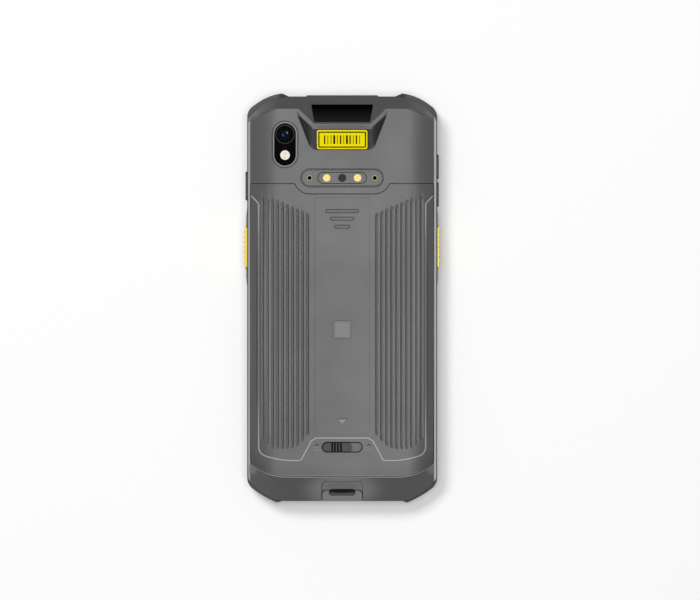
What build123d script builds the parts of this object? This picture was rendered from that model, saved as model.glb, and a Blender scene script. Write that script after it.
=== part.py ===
"""Rugged handheld barcode data terminal with a lift-off battery cover.

The terminal lies face down: +Z points out of its back, +Y to the scanner end and +X to the
right side as seen from the back.  z = 0 is the plane of the four corner bumpers' front faces.
"""

import os
from math import acos, atan, cos, degrees, radians, sin, sqrt

from build123d import *

os.makedirs("parts", exist_ok=True)

# ------------------------------------------------------------------ driving dimensions (mm)
# Body plan
HALF_WIDTH = 37.5            # the side walls
TOP_END_Y = 79.6             # scanner end wall
BOTTOM_END_Y = -80.1         # port end wall
LEDGE_HALF_WIDTH = 13.8      # raised ledge across the scanner end
LEDGE_RISE = 0.5

# Corner outlines, each point inset from the side wall and from the end wall
BUMPER_TOP = ((16.5, 0.0), (13.8, -1.27), (7.6, 0.45), (2.7, 3.45), (0.65, 5.5), (0.0, 7.8))
BUMPER_BOTTOM = ((0.0, 8.6), (0.55, 6.7), (1.9, 5.0), (6.0, 2.2), (11.8, -0.7), (13.8, 0.0))
HOUSING_TOP = ((16.5, 0.0), (12.9, 0.8), (5.9, 3.2), (0.0, 10.4))
HOUSING_BOTTOM = ((0.0, 9.5), (5.1, 3.8), (12.1, 0.3), (13.8, 0.0))

# Heights
BEZEL_Z = 0.3                # front rim, just behind the bumpers
PARTING_Z = 4.0              # joint between the front and the rear housing
BACK_Z = 15.8                # flat of the back
CREST_Z = 19.0               # top of the scanner hump

# Back surface
FLAT_HALF_WIDTH = HALF_WIDTH - 12.5      # flat middle of the back
ROLL_END = (HALF_WIDTH - 1.2, 12.6)      # where the rolled side ends, x and z
EDGE_STRIP_Z = 10.8                      # foot of the bevel strip along each side
TOP_BEVEL_Y = TOP_END_Y - 4.95           # where the bevel to the scanner end starts
BOTTOM_BEVEL_Y = BOTTOM_END_Y + 9.9      # where the bevel to the port end starts
BEVEL_HALF_WIDTH = HALF_WIDTH - 5.2      # bevel contour at the height of the back
BEVEL_CORNER_R = 8.0
BEVEL_RUN = 1.767                        # how far the bevel contour grows for each mm down
BEVEL_CORNER_RUN = 3.2                   # how much its corner radius grows for each mm down

# Scanner hump
CREST_Y = TOP_END_Y - 10.6
LABEL_TOP_Y = CREST_Y - 2.4
LABEL_FOOT_Y = CREST_Y - 10.6
HUMP_OUTLINE = ((17.7, 13.9), (12.3, 0.0))             # x, and y above the foot of the label face
HUMP_FOOT_R = 2.4
HUMP_SIDE_RUN = 1.1                      # side facets, mm inwards for each mm up
HUMP_END_Y = TOP_END_Y - 1.6
SHOULDER = 0.42                          # how deep the facets beside the scan window cut the corners
SHOULDER_FACING = (0.36, 0.15, 0.92)
CREST_EDGE = 0.4
WINDOW_WIDE = 12.3                       # half width of the scan window at the end side
WINDOW_NARROW = 11.0                     # and at the crest side
WINDOW_FAR_Y = TOP_END_Y - 3.0
WINDOW_NEAR_Y = CREST_Y + 0.4
WINDOW_CORNER_R = 0.7
WINDOW_THICK = 1.0
WINDOW_INSET = 0.6
SURROUND_MARGIN = 0.8                    # width of the shallow surround about the scan window
SURROUND_DEPTH = 0.2
LABEL_LENGTH = 19.9
LABEL_HEIGHT = 8.0
LABEL_CORNER_R = 0.8
LABEL_THICK = 0.35
LABEL_SINK = 0.2

# Battery cover and its seat
COVER_TOP_Y = TOP_END_Y - 34.3           # seam between the housing and the cover, and its hinge line
COVER_WALL = 1.6
SEAT_GAP = 0.2                           # under the cover
SEAM_GAP = 0.25                          # around the cover
COVER_SIDE_ARC_R = 23.4                  # bottom corners of the seam
COVER_CORNER_X = HALF_WIDTH - 16.0
SEAM_PILL_R = 6.2                        # seam round the accessory contacts
SEAM_BLEND_R = 2.4                       # where the seam turns into the sides
HOOK_SPAN = (HALF_WIDTH - 15.5, HALF_WIDTH - 7.5)    # the two hooks under the housing lip
HOOK_REACH = 1.9
HOOK_THICK = 1.1
HOOK_ROOT = 1.9
HOOK_ROOM = 0.4

# Cover decoration
RIB_COUNT = 10
RIB_OUTER_X = HALF_WIDTH - 6.1
RIB_PITCH = 1.97
RIB_MOUTH = 1.3
RIB_FLOOR = 0.4
RIB_DEPTH = 0.6
RIB_FADE = (3.4, 2.2)                    # ramps at the top and at the foot of each groove
RIB_TOP = (3.4, 11.1)                    # outermost and innermost groove, below the cover's top seam
RIB_FOOT = (13.4, 11.7, 10.8, 10.5, 10.4, 10.5, 10.8, 11.8, 13.6, 15.9)    # above the bottom bevel
STRIP_WIDTH = 0.55
STRIP_PROUD = 0.12
STRIP_DEPTH = 0.35
STRIP_X = HALF_WIDTH - 4.6
STRIP_HEAD = ((2.9, 4.9), (0.0, 8.0))    # outwards from the strip, and down from the top seam
STRIP_SIDE_FOOT = 11.6                   # all others above the bottom bevel
STRIP_CORNER = ((2.5, 8.1), (15.1, 6.25))             # inwards from the strip, as the inner points are
STRIP_CORNER_SLOPE = 0.34
STRIP_INNER = ((16.7, 6.3), (20.7, 13.9), (22.5, 15.1))
STRIP_HEAD_R = 1.5
STRIP_BEND_R = 1.3
PANEL_HALF_WIDTH = HALF_WIDTH - 26.7
PANEL_TOP_Y = COVER_TOP_Y - 5.6
PANEL_FOOT_Y = BOTTOM_BEVEL_Y + 16.5
PANEL_FOOT_R = 3.5
PANEL_HEAD_R = 0.6
PANEL_DEPTH = 0.08
BAR_DROP = (11.0, 14.0, 17.15)           # below the cover's top seam
BAR_LENGTH = (13.3, 9.7, 6.3)
BAR_HEIGHT = 1.5
BAR_LINE = 0.35
BAR_DEPTH = 0.5
BADGE_SIZE = 7.2
BADGE_Y = -12.3
BADGE_CORNER_R = 0.8
BADGE_DEPTH = 0.15
ARROW_TOP_Y = BOTTOM_BEVEL_Y + 22.7
ARROW_WIDTH = 4.0
ARROW_HEIGHT = 2.05

# Latch
LATCH_Y = BOTTOM_BEVEL_Y + 11.5
LATCH_LENGTH = 15.5
LATCH_WIDTH = 3.6
LATCH_POCKET_DEPTH = 1.0
LATCH_RIM = 0.3                          # sunk rim round the pocket
LATCH_RIM_DEPTH = 0.6
SLIDER_LENGTH = 11.5
LATCH_TRAVEL = 3.8
LATCH_GAP = 0.06
SLIDE_GAP = 0.1
SLIDER_GROOVES = (-3.9, -2.85, -1.65, -0.45)
SLIDER_GROOVE_WIDTH = 0.55
SLIDER_GROOVE_DEPTH = 0.5
LINK_X = (-3.4, -0.6)
LINK_WIDTH = 2.0
BOLT_THICK = 0.9
BOLT_GAP = 0.3
BOLT_END_Y = BOTTOM_BEVEL_Y + 2.8
BOLT_HALF_WIDTH = 5.0

# Battery and its bay
BAY_HALF_WIDTH = HALF_WIDTH - 8.0
BAY_TOP_Y = COVER_TOP_Y - 5.3
BAY_FOOT_Y = BOTTOM_BEVEL_Y + 6.2
BAY_FLOOR_Z = 5.4
BATTERY_GAP = 0.3
BATTERY_FIT = 0.1
BATTERY_TOP_Z = 12.6
BATTERY_CORNER_R = 2.0
BATTERY_EDGE_R = 1.2
CONTACT_STRIP = 1.1
CONTACT_STRIP_HALF = 6.0
CONTACT_STRIP_Z = BATTERY_TOP_Z - 2.0
CONTACT_BLADES = (-3.6, -1.2, 1.2, 3.6)
BLADE_HALF = 0.5
BLADE_Z = (BAY_FLOOR_Z + 1.0, BATTERY_TOP_Z - 4.0)
GASKET_MARGIN = 0.7
GASKET_WIDTH = 0.9
GASKET_SINK = 0.8
GASKET_HEAD_MARGIN = 0.3
GASKET_FOOT_R = 9.0
GASKET_HEAD_R = 2.0
GASKET_TOP_GAP = 0.05

# Accessory contacts
CONTACT_Y = COVER_TOP_Y + 2.1
CONTACT_PILL = (31.9, 6.4)
CONTACT_GROOVE = 0.5
CONTACT_BLOCK = (19.4, 4.65)
CONTACT_DEPTH = 2.5
CONTACT_EDGE = 0.15
BLOCK_RIM = 0.25                         # groove between the plate and the block
BLOCK_SINK = 0.15
PAD_X = 6.08
PAD_R = 1.57
PAD_THICK = 0.8
PAD_PROUD = 0.1
INSERT_X = 12.85
INSERT_R = 1.04
INSERT_BORE_R = 0.65
INSERT_LENGTH = 5.0

# Camera
CAMERA_CENTRE = (15.0 - HALF_WIDTH, TOP_END_Y - 19.0)
CAMERA_TRIM = (9.5, 17.75)
CAMERA_GLASS = (8.5, 16.75)
CAMERA_POCKET = 1.8
CAMERA_GROOVE = 0.5
GROOVE_DEPTH = 0.6
TRIM_PROUD = 0.15
GLASS_SINK = 0.3
GLASS_THICK = 0.8
GLASS_LEDGE = 0.5
LENS_Y = CAMERA_CENTRE[1] + 4.0
LENS_R = 2.3
LENS_EDGE = 0.15
LENS_RIM_R = 3.8
LENS_RIM_WIDTH = 0.4
LENS_RIM_HEIGHT = 0.15
LENS_BARREL_R = 2.9
FLASH_Y = CAMERA_CENTRE[1] - 4.2
FLASH_R = 1.9
CAMERA_MODULE = 8.4
CAMERA_MODULE_FOOT_Z = 8.6

# Side controls
KEY_Z = 7.4
KEY_HEIGHT = 3.6
TRIGGER_HEIGHT = 5.0
SIDE_WALL_X = HALF_WIDTH - 2.2           # inner face of the side walls at the keys
KEY_BAY_X = HALF_WIDTH - 6.8
KEY_BAY_Z = (4.0, 10.8)
KEY_BAY_MARGIN = 0.8
KEY_GAP = 0.1
KEY_CORNER_R = 1.0
KEY_EDGE_R = 0.35
FLANGE_REACH = (0.45, 0.6)               # how far a flange stands out along y and along z
FLANGE_THICK = 1.0
SWITCH_GAP = 0.1                         # left above a plunger when its key is fully pressed
SWITCH_SIZE = (2.2, 3.4, 2.6)
PLUNGER_HALF = 0.5
POWER_SPAN = (TOP_END_Y - 40.9, TOP_END_Y - 29.5)
VOLUME_UP_SPAN = (TOP_END_Y - 32.5, TOP_END_Y - 22.8)
VOLUME_DOWN_SPAN = (TOP_END_Y - 43.5, TOP_END_Y - 33.8)
TRIGGER_SPAN = (TOP_END_Y - 67.9, TOP_END_Y - 51.1)
POWER_X = HALF_WIDTH + 0.7
VOLUME_X = HALF_WIDTH + 0.65
TRIGGER_X = HALF_WIDTH + 0.95
TRIGGER_TRAVEL = 0.6
TRIGGER_RIBS = 7
TRIGGER_RIB_PITCH = 2.0
TRIGGER_RIB_HEIGHT = 0.25
GUARD_SPAN = (TRIGGER_SPAN[0] - 6.7, TRIGGER_SPAN[1] + 7.0)
GUARD_SHOULDER = (TRIGGER_SPAN[0] - 3.1, TRIGGER_SPAN[1] + 3.4)
GUARD_PROUD = 0.5
GUARD_Z = (3.9, 10.4)

# Front
GLASS_HALF_WIDTH = HALF_WIDTH - 3.5
GLASS_Y = (BOTTOM_END_Y + 8.1, TOP_END_Y - 7.1)
GLASS_CORNER_R = 5.0
GLASS_FACE_Z = 0.7
GLASS_EDGE = 0.2
COVER_GLASS_THICK = 0.8
GLASS_FIT = 0.1
DISPLAY_HALF_WIDTH = HALF_WIDTH - 6.0
DISPLAY_Y = (BOTTOM_END_Y + 18.1, TOP_END_Y - 17.6)
DISPLAY_CORNER_R = 2.0
CHASSIS_HALF_WIDTH = HALF_WIDTH - 4.5
CHASSIS_Y = (BOTTOM_END_Y + 6.1, TOP_END_Y - 4.6)
CHASSIS_CORNER_R = 4.0
CHASSIS_THICK = 0.8
BEZEL_EDGE_R = 0.5
FRONT_TRIM_DEPTH = 1.0
PARTING_GROOVE = (0.25, 0.3)               # depth and width of the groove at the parting line
EARPIECE_Y = TOP_END_Y - 4.7
EARPIECE = (11.0, 1.0)
GRILLE_PITCH = 1.1
GRILLE_COUNT = 8
GRILLE_HOLE_R = 0.3
FRONT_LENS_X = 14.0
FRONT_LENS_R = 1.4
BUMPER_STEP = 0.45

# Upper electronics
BOARD_CORNER_R = 2.0
SMALL_CORNER_R = 1.0         # shield cans, camera module, latch bolt and the port's board
UPPER_CAVITY_Y = (TOP_END_Y - 27.1, TOP_END_Y - 4.6)
LOWER_CAVITY_Y = (COVER_TOP_Y - 3.8, UPPER_CAVITY_Y[0])
CAVITY_HALF_WIDTH = HALF_WIDTH - 8.0
UPPER_CAVITY_Z = 13.4
LOWER_CAVITY_Z = 9.6
BOARD_THICK = 1.0
BOARD_Z = 4.3
BOARD_INSET = 0.5
ENGINE_Y = (TOP_END_Y - 17.1, TOP_END_Y - 5.4)
ENGINE_HALF_WIDTH = 10.5
BRACKET_HALF_WIDTH = 11.4
BRACKET_THICK = 0.6
BRACKET_EAR = 4.5
NOSE_Y = (TOP_END_Y - 9.2, TOP_END_Y - 6.0)
NOSE_GAP = 0.4
APERTURE_INSET = 1.2
SHIELD_HEIGHT = 2.2
SHIELD_CANS = (
    ((CAVITY_HALF_WIDTH - 16.0, CAVITY_HALF_WIDTH - 2.5), (TOP_END_Y - 25.6, TOP_END_Y - 7.1)),
    ((2.5 - CAVITY_HALF_WIDTH, 16.0 - CAVITY_HALF_WIDTH), (TOP_END_Y - 26.1, TOP_END_Y - 20.6)),
    ((19.5 - CAVITY_HALF_WIDTH, CAVITY_HALF_WIDTH - 19.5), (TOP_END_Y - 36.1, TOP_END_Y - 19.6)),
)
ANTENNA_SIZE = (34.0, 44.0)
ANTENNA_THICK = 0.25
ANTENNA_CORNER_R = 2.0

# Port end
PORT_CAVITY_Y = (BOTTOM_END_Y + 3.5, BOTTOM_END_Y + 14.7)
PORT_CAVITY_HALF_WIDTH = HALF_WIDTH - 10.5
PORT_CAVITY_Z = 9.0
PORT_Z = 6.3
PORT_HOLE = (9.2, 3.4)
PORT_TONGUE = (6.6, 0.7)
PORT_DEPTH = 6.0
RECEPTACLE = (8.94, 3.16)
RECEPTACLE_BORE = (8.34, 2.56)
RECEPTACLE_Y = (BOTTOM_END_Y + 2.6, BOTTOM_END_Y + 10.1)
SUB_BOARD_THICK = 0.6
SPEAKER_X = (2.0 - PORT_CAVITY_HALF_WIDTH, 19.0 - PORT_CAVITY_HALF_WIDTH)
SPEAKER_Y = (PORT_CAVITY_Y[0] + 1.0, PORT_CAVITY_Y[1] - 1.0)
SPEAKER_HEIGHT = 4.0
SPEAKER_CORNER_R = 2.0
MOTOR_CENTRE = (PORT_CAVITY_HALF_WIDTH - 10.0, BOTTOM_END_Y + 9.1)
MOTOR_R = 4.0
MOTOR_HEIGHT = 2.7
NOTCH_HALF_WIDTH = 8.2
NOTCH_TOP_Y = BOTTOM_END_Y + 8.1
NOTCH_CORNER_R = 2.0
NOTCH_DEPTH = 0.6
FLAP_TOP_Y = BOTTOM_END_Y + 4.2
FLAP_GAP = 0.25
FLAP_THICK = 1.6
FLAP_SWING_GAP = 0.3
FLAP_PIN_Y = BOTTOM_END_Y + 0.95
FLAP_PIN_Z = 2.0
FLAP_KNUCKLE_R = 0.95
FLAP_PIN_R = 0.4
PIN_CLEARANCE = 0.05
PIN_EMBED = 1.2
NOTCH_WALL_Y = BOTTOM_END_Y + 2.1
PLUG = (7.9, 2.2)
PLUG_END_Y = NOTCH_WALL_Y + 0.35
NAIL_SLOT = (10.5, 2.7)
NAIL_SLOT_Y = FLAP_TOP_Y - 0.7
NAIL_SLOT_DEPTH = 1.1

# Screws in the bay floor
SCREW_X = HALF_WIDTH - 11.5
SCREW_Y = (BAY_FOOT_Y + 4.0, BAY_TOP_Y - 4.0)
SCREW_HEAD_R = 1.5
SCREW_HEAD_HEIGHT = 0.8
SCREW_R = 0.8

# ------------------------------------------------------------------ derived values
BEVEL_ANGLE = degrees(atan(1 / BEVEL_RUN))
TALL = 2 * CREST_Z           # taller than the whole terminal
LONG = 3 * TOP_END_Y         # longer than the whole terminal
DEEP = 1.5 * CREST_Z         # deeper than the whole terminal
QUADRANT = LONG / 2          # larger than a quarter of the plan
SPARE = 1.0                  # how far a cutter reaches past what it cuts
TRIM = 0.05                  # stock that is left on and planed off
SIDES = (-1, 1)
GLASS_BACK_Z = GLASS_FACE_Z + COVER_GLASS_THICK
CHASSIS_Z = PARTING_Z - CHASSIS_THICK
BOARD_TOP_Z = BOARD_Z + BOARD_THICK
BRACKET_TOP_Z = BOARD_TOP_Z + BRACKET_THICK
BRACKET_EAR_Z = BRACKET_TOP_Z + BRACKET_EAR
SUB_BOARD_Z = PORT_Z - RECEPTACLE[1] / 2 - SUB_BOARD_THICK
SUB_BOARD_TOP_Z = SUB_BOARD_Z + SUB_BOARD_THICK
SPEAKER_TOP_Z = SUB_BOARD_TOP_Z + SPEAKER_HEIGHT
CAMERA_GLASS_FOOT_Z = BACK_Z - GLASS_SINK - GLASS_THICK
PAD_FOOT_Z = BACK_Z - BLOCK_SINK + PAD_PROUD - PAD_THICK
FLANGE_X = SIDE_WALL_X - KEY_GAP - FLANGE_THICK
PLUNGER_X = FLANGE_X - TRIGGER_TRAVEL - SWITCH_GAP
SLIDER_FOOT_Z = BACK_Z - LATCH_POCKET_DEPTH + LATCH_GAP
SLIDER_X = (SLIDER_LENGTH - LATCH_LENGTH) / 2 + LATCH_GAP
BOLT_TOP_Z = BACK_Z - COVER_WALL - BOLT_GAP
FLAP_INNER_Y = NOTCH_WALL_Y - FLAP_SWING_GAP
HOOK_FOOT_DROP = COVER_WALL + SEAT_GAP + HOOK_THICK
HOOK_LOW_Z = BACK_Z - 2 * COVER_WALL - HOOK_THICK
HOOK_SWING = COVER_WALL + SEAT_GAP + HOOK_THICK + HOOK_REACH / 2
SCREW_PLACES = [(x * SCREW_X, y) for x in SIDES for y in SCREW_Y]
KEYWAYS = (
    (-1, POWER_SPAN, KEY_HEIGHT),
    (1, VOLUME_UP_SPAN, KEY_HEIGHT),
    (1, VOLUME_DOWN_SPAN, KEY_HEIGHT),
    (-1, TRIGGER_SPAN, TRIGGER_HEIGHT),
    (1, TRIGGER_SPAN, TRIGGER_HEIGHT),
)
BUMPERS = (
    ("corner_bumper_top_left", -1, 1),
    ("corner_bumper_top_right", 1, 1),
    ("corner_bumper_bottom_left", -1, -1),
    ("corner_bumper_bottom_right", 1, -1),
)


def bevel_z(y):
    """Height of the bevel at the port end over the plan position y."""
    return BACK_Z - (BOTTOM_BEVEL_Y - y) / BEVEL_RUN


def roll_radius():
    """Radius of the rolled side that leaves the flat of the back smoothly."""
    run = ROLL_END[0] - FLAT_HALF_WIDTH
    fall = BACK_Z - ROLL_END[1]
    return (run * run + fall * fall) / (2 * fall)


def crown_z(x):
    """Height of the back at a distance x from the middle, away from the hump and the bevels."""
    run = max(0.0, abs(x) - FLAT_HALF_WIDTH)
    return BACK_Z - roll_radius() + sqrt(roll_radius() ** 2 - run * run)


# ------------------------------------------------------------------ plan outlines
def plan(half_outline):
    """Face of a closed half outline (x >= 0) and its mirror image."""
    with BuildSketch() as sketch:
        with BuildLine():
            half_outline()
        make_face()
        mirror(about=Plane.YZ)
    return sketch.sketch


def top_corner(insets):
    """Plan points at the right corner of the scanner end, from their insets."""
    return [(HALF_WIDTH - x, TOP_END_Y - y) for x, y in insets]


def bottom_corner(insets):
    """Plan points at the right corner of the port end, from their insets."""
    return [(HALF_WIDTH - x, BOTTOM_END_Y + y) for x, y in insets]


def outer_half():
    """Right half of the whole plan, bumpers included."""
    step, tip, crown, shoulder, shoulder_mid, side = top_corner(BUMPER_TOP)
    heel, heel_mid, sole, sole_mid, toe, toe_step = bottom_corner(BUMPER_BOTTOM)
    Line((0, BOTTOM_END_Y), (0, TOP_END_Y))
    Polyline((0, TOP_END_Y), step, tip)
    ThreePointArc(tip, crown, shoulder)
    ThreePointArc(shoulder, shoulder_mid, side)
    Line(side, heel)
    ThreePointArc(heel, heel_mid, sole)
    ThreePointArc(sole, sole_mid, toe)
    Polyline(toe, toe_step, (0, BOTTOM_END_Y))


def housing_half():
    """Right half of the housings, inside the corner bumpers."""
    step, seat, seat_mid, side = top_corner(HOUSING_TOP)
    heel, sole, toe, toe_step = bottom_corner(HOUSING_BOTTOM)
    Line((0, BOTTOM_END_Y), (0, TOP_END_Y))
    Polyline((0, TOP_END_Y), step, seat)
    ThreePointArc(seat, seat_mid, side)
    Line(side, heel)
    ThreePointArc(heel, sole, toe)
    Polyline(toe, toe_step, (0, BOTTOM_END_Y))


def cover_half():
    """Right half of the seam round the battery cover."""
    pill_x = CONTACT_PILL[0] / 2 - CONTACT_PILL[1] / 2
    pill_foot = CONTACT_Y - SEAM_PILL_R
    side = pill_x + sqrt(SEAM_PILL_R**2 - (CONTACT_Y - COVER_TOP_Y) ** 2)
    half_turn = acos((CONTACT_Y - COVER_TOP_Y) / SEAM_PILL_R) / 2
    middle = (pill_x + SEAM_PILL_R * sin(half_turn), CONTACT_Y - SEAM_PILL_R * cos(half_turn))
    run = ROLL_END[0] - COVER_CORNER_X
    corner_y = BOTTOM_BEVEL_Y + COVER_SIDE_ARC_R - sqrt(COVER_SIDE_ARC_R**2 - run**2)
    bend = run / COVER_SIDE_ARC_R / 2
    corner_middle = (
        COVER_CORNER_X + COVER_SIDE_ARC_R * sin(bend),
        BOTTOM_BEVEL_Y + COVER_SIDE_ARC_R * (1 - cos(bend)),
    )
    Line((0, BOTTOM_BEVEL_Y), (0, pill_foot))
    Line((0, pill_foot), (pill_x, pill_foot))
    ThreePointArc((pill_x, pill_foot), middle, (side, COVER_TOP_Y))
    Line((side, COVER_TOP_Y), (ROLL_END[0], COVER_TOP_Y))
    Line((ROLL_END[0], COVER_TOP_Y), (ROLL_END[0], corner_y))
    ThreePointArc((ROLL_END[0], corner_y), corner_middle, (COVER_CORNER_X, BOTTOM_BEVEL_Y))
    Line((COVER_CORNER_X, BOTTOM_BEVEL_Y), (0, BOTTOM_BEVEL_Y))


def pill(length, height, centre=(0.0, 0.0)):
    """Face with two round ends, along x where it is longer than high, else along y."""
    with BuildSketch() as sketch:
        with Locations(centre):
            if length > height:
                SlotOverall(length, height)
            else:
                SlotOverall(height, length, rotation=90)
    return sketch.sketch


def rounded(width, y_low, y_high, radius):
    """Rounded rectangle centred on x = 0 between two y values."""
    with BuildSketch() as sketch:
        with Locations((0, (y_low + y_high) / 2)):
            RectangleRounded(width, y_high - y_low, radius)
    return sketch.sketch


OUTER_PLAN = plan(outer_half)
HOUSING_PLAN = plan(housing_half)
with BuildSketch() as cover_sketch:
    add(plan(cover_half))
    for group in (0, -1):
        fillet(cover_sketch.vertices().group_by(Axis.X)[group].sort_by(Axis.Y)[0], SEAM_BLEND_R)
COVER_PLAN = cover_sketch.sketch


# ------------------------------------------------------------------ back surface as a solid form
def bevel_section(z):
    """Rounded contour of the two end bevels at height z."""
    drop = BACK_Z - z
    grow = drop * BEVEL_RUN
    low = BOTTOM_BEVEL_Y - grow
    high = TOP_BEVEL_Y + grow + TRIM
    with BuildSketch(Plane.XY.offset(z)) as sketch:
        with Locations((0, (low + high) / 2)):
            RectangleRounded(
                2 * (BEVEL_HALF_WIDTH + grow),
                high - low,
                BEVEL_CORNER_R + drop * BEVEL_CORNER_RUN,
            )
    return sketch.sketch


HUMP_TOP_Z = CREST_Z + SPARE / 2      # the loft is taller and deeper than the hump cut from it
HUMP_FOOT_Z = BACK_Z - SPARE
HUMP_SINK = BACK_Z - HUMP_FOOT_Z
with BuildSketch() as hump_base:
    with BuildLine():
        hump_side = [(x, LABEL_FOOT_Y + rise) for x, rise in HUMP_OUTLINE]
        hump_right = [(HUMP_OUTLINE[0][0], HUMP_END_Y), *hump_side]
        hump_left = [(-x, y) for x, y in reversed(hump_right)]
        Polyline(*hump_right, *hump_left, close=True)
    make_face()
    fillet(hump_base.vertices().group_by(Axis.Y)[0], HUMP_FOOT_R)


def hump_section(z):
    """Plan section of the hump's side facets at height z."""
    with BuildSketch(Plane.XY.offset(z)) as section:
        add(hump_base.sketch)
        offset(amount=(BACK_Z - z) * HUMP_SIDE_RUN, kind=Kind.INTERSECTION)
    return section.sketch


BEVEL_PLANE = Plane(
    origin=(0, TOP_BEVEL_Y, BACK_Z),
    x_dir=(1, 0, 0),
    z_dir=(0, sin(radians(BEVEL_ANGLE)), cos(radians(BEVEL_ANGLE))),
)

with BuildPart() as hump_form:
    loft([hump_section(HUMP_FOOT_Z), hump_section(HUMP_TOP_Z)], ruled=True)
    with BuildSketch(Plane.YZ):
        with BuildLine():
            label_run = (LABEL_TOP_Y - LABEL_FOOT_Y) / (CREST_Z - BACK_Z)
            Polyline(
                (CREST_Y + (CREST_Z - HUMP_FOOT_Z) * BEVEL_RUN, HUMP_FOOT_Z),
                (CREST_Y, CREST_Z),
                (LABEL_TOP_Y, CREST_Z),
                (LABEL_FOOT_Y - HUMP_SINK * label_run, HUMP_FOOT_Z),
                close=True,
            )
        make_face()
    extrude(amount=HALF_WIDTH, both=True, mode=Mode.INTERSECT)
    crest_front = hump_form.vertices().group_by(Axis.Z)[-1].group_by(Axis.Y)[-1].sort_by(Axis.X)
    for side, corner in zip(SIDES, (crest_front[0], crest_front[-1])):
        facing = Vector(side * SHOULDER_FACING[0], *SHOULDER_FACING[1:]).normalized()
        split(
            bisect_by=Plane(origin=Vector(*corner) - facing * SHOULDER, z_dir=facing), keep=Keep.BOTTOM
        )

with BuildPart() as back_form:
    with BuildSketch(Plane.XZ):
        with BuildLine():
            roll_mid = (ROLL_END[0] + FLAT_HALF_WIDTH) / 2
            Line((0, -DEEP), (0, BACK_Z))
            Line((0, BACK_Z), (FLAT_HALF_WIDTH, BACK_Z))
            ThreePointArc((FLAT_HALF_WIDTH, BACK_Z), (roll_mid, crown_z(roll_mid)), ROLL_END)
            Line(ROLL_END, (HALF_WIDTH, EDGE_STRIP_Z))
            Line((HALF_WIDTH, EDGE_STRIP_Z), (HALF_WIDTH, -DEEP))
            Line((HALF_WIDTH, -DEEP), (0, -DEEP))
        make_face()
        mirror(about=Plane.YZ)
    extrude(amount=LONG / 2, both=True)
    bevel_ends = [bevel_section(PARTING_Z - SPARE), bevel_section(BACK_Z + SPARE / 2)]
    loft(bevel_ends, ruled=True, mode=Mode.INTERSECT)
    add(hump_form.part)
    split(bisect_by=BEVEL_PLANE, keep=Keep.BOTTOM)
    fillet(back_form.faces().sort_by(Axis.Z)[-1].edges(), CREST_EDGE)


def lowered(drop):
    """The back form moved down by drop, which leaves a wall of that height above it."""
    return back_form.part.moved(Location((0, 0, -drop)))


def column(face, low=0.0, high=TALL):
    """Upright prism over a plan face between two heights."""
    with BuildPart() as prism:
        with BuildSketch(Plane.XY.offset(low)):
            add(face)
        extrude(amount=high - low)
    return prism.part


def sunk(face, depth):
    """What is cut to sink a plan face into the back surface by depth."""
    with BuildPart() as cutter:
        add(column(face, PARTING_Z + 2 * SPARE))
        add(lowered(depth), mode=Mode.SUBTRACT)
    return cutter.part


def inset_face(face, amount):
    """Plan face grown or shrunk all round."""
    with BuildSketch() as sketch:
        add(face)
        offset(amount=amount, kind=Kind.ARC)
    return sketch.sketch


def slab(x_span, y_span, z_span):
    """Plain block between two values on each axis."""
    with BuildPart() as block:
        centre = [(span[0] + span[1]) / 2 for span in (x_span, y_span, z_span)]
        with Locations(tuple(centre)):
            Box(x_span[1] - x_span[0], y_span[1] - y_span[0], z_span[1] - z_span[0])
    return block.part


def side_span(side, x_low, x_high):
    """Pair of x values in rising order on the given side."""
    return tuple(sorted((side * x_low, side * x_high)))


# ------------------------------------------------------------------ shared plan faces
COVER_FACE = inset_face(COVER_PLAN, -SEAM_GAP)
FLAP_SEAT_FACE = rounded(2 * NOTCH_HALF_WIDTH, BOTTOM_END_Y - DEEP, FLAP_TOP_Y + FLAP_GAP, NOTCH_CORNER_R)
FLAP_FACE = rounded(
    2 * (NOTCH_HALF_WIDTH - FLAP_GAP), BOTTOM_END_Y - DEEP, FLAP_TOP_Y, NOTCH_CORNER_R - FLAP_GAP
)
NOTCH_FACE = rounded(2 * NOTCH_HALF_WIDTH, BOTTOM_END_Y - DEEP, NOTCH_TOP_Y, NOTCH_CORNER_R)
LATCH_FACE = pill(LATCH_LENGTH, LATCH_WIDTH, (0, LATCH_Y))
NAIL_FACE = pill(NAIL_SLOT[0], NAIL_SLOT[1], (0, NAIL_SLOT_Y))
BAY_FACE = rounded(2 * BAY_HALF_WIDTH, BAY_FOOT_Y, BAY_TOP_Y, BATTERY_CORNER_R)
CONTACT_FACE = pill(CONTACT_PILL[0], CONTACT_PILL[1], (0, CONTACT_Y))
CAMERA_TRIM_FACE = pill(CAMERA_TRIM[0], CAMERA_TRIM[1], CAMERA_CENTRE)
CAMERA_GLASS_FACE = pill(CAMERA_GLASS[0], CAMERA_GLASS[1], CAMERA_CENTRE)

with BuildSketch() as gasket_sketch:
    gasket_foot = BOLT_END_Y - BOLT_GAP - 2 * GASKET_MARGIN - GASKET_WIDTH
    gasket_head = BAY_TOP_Y + GASKET_HEAD_MARGIN + GASKET_WIDTH
    with Locations((0, (gasket_foot + gasket_head) / 2)):
        Rectangle(2 * (BAY_HALF_WIDTH + GASKET_MARGIN + GASKET_WIDTH), gasket_head - gasket_foot)
    fillet(gasket_sketch.vertices().group_by(Axis.Y)[0], GASKET_FOOT_R)
    fillet(gasket_sketch.vertices().group_by(Axis.Y)[-1], GASKET_HEAD_R)
    offset(amount=-GASKET_WIDTH, mode=Mode.SUBTRACT)
GASKET_FACE = gasket_sketch.sketch
GASKET_CHANNEL = sunk(GASKET_FACE, COVER_WALL + SEAT_GAP + GASKET_SINK)
PORT_PLANE = Plane(origin=(0, NOTCH_WALL_Y, PORT_Z), x_dir=(1, 0, 0), z_dir=(0, -1, 0))


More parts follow.
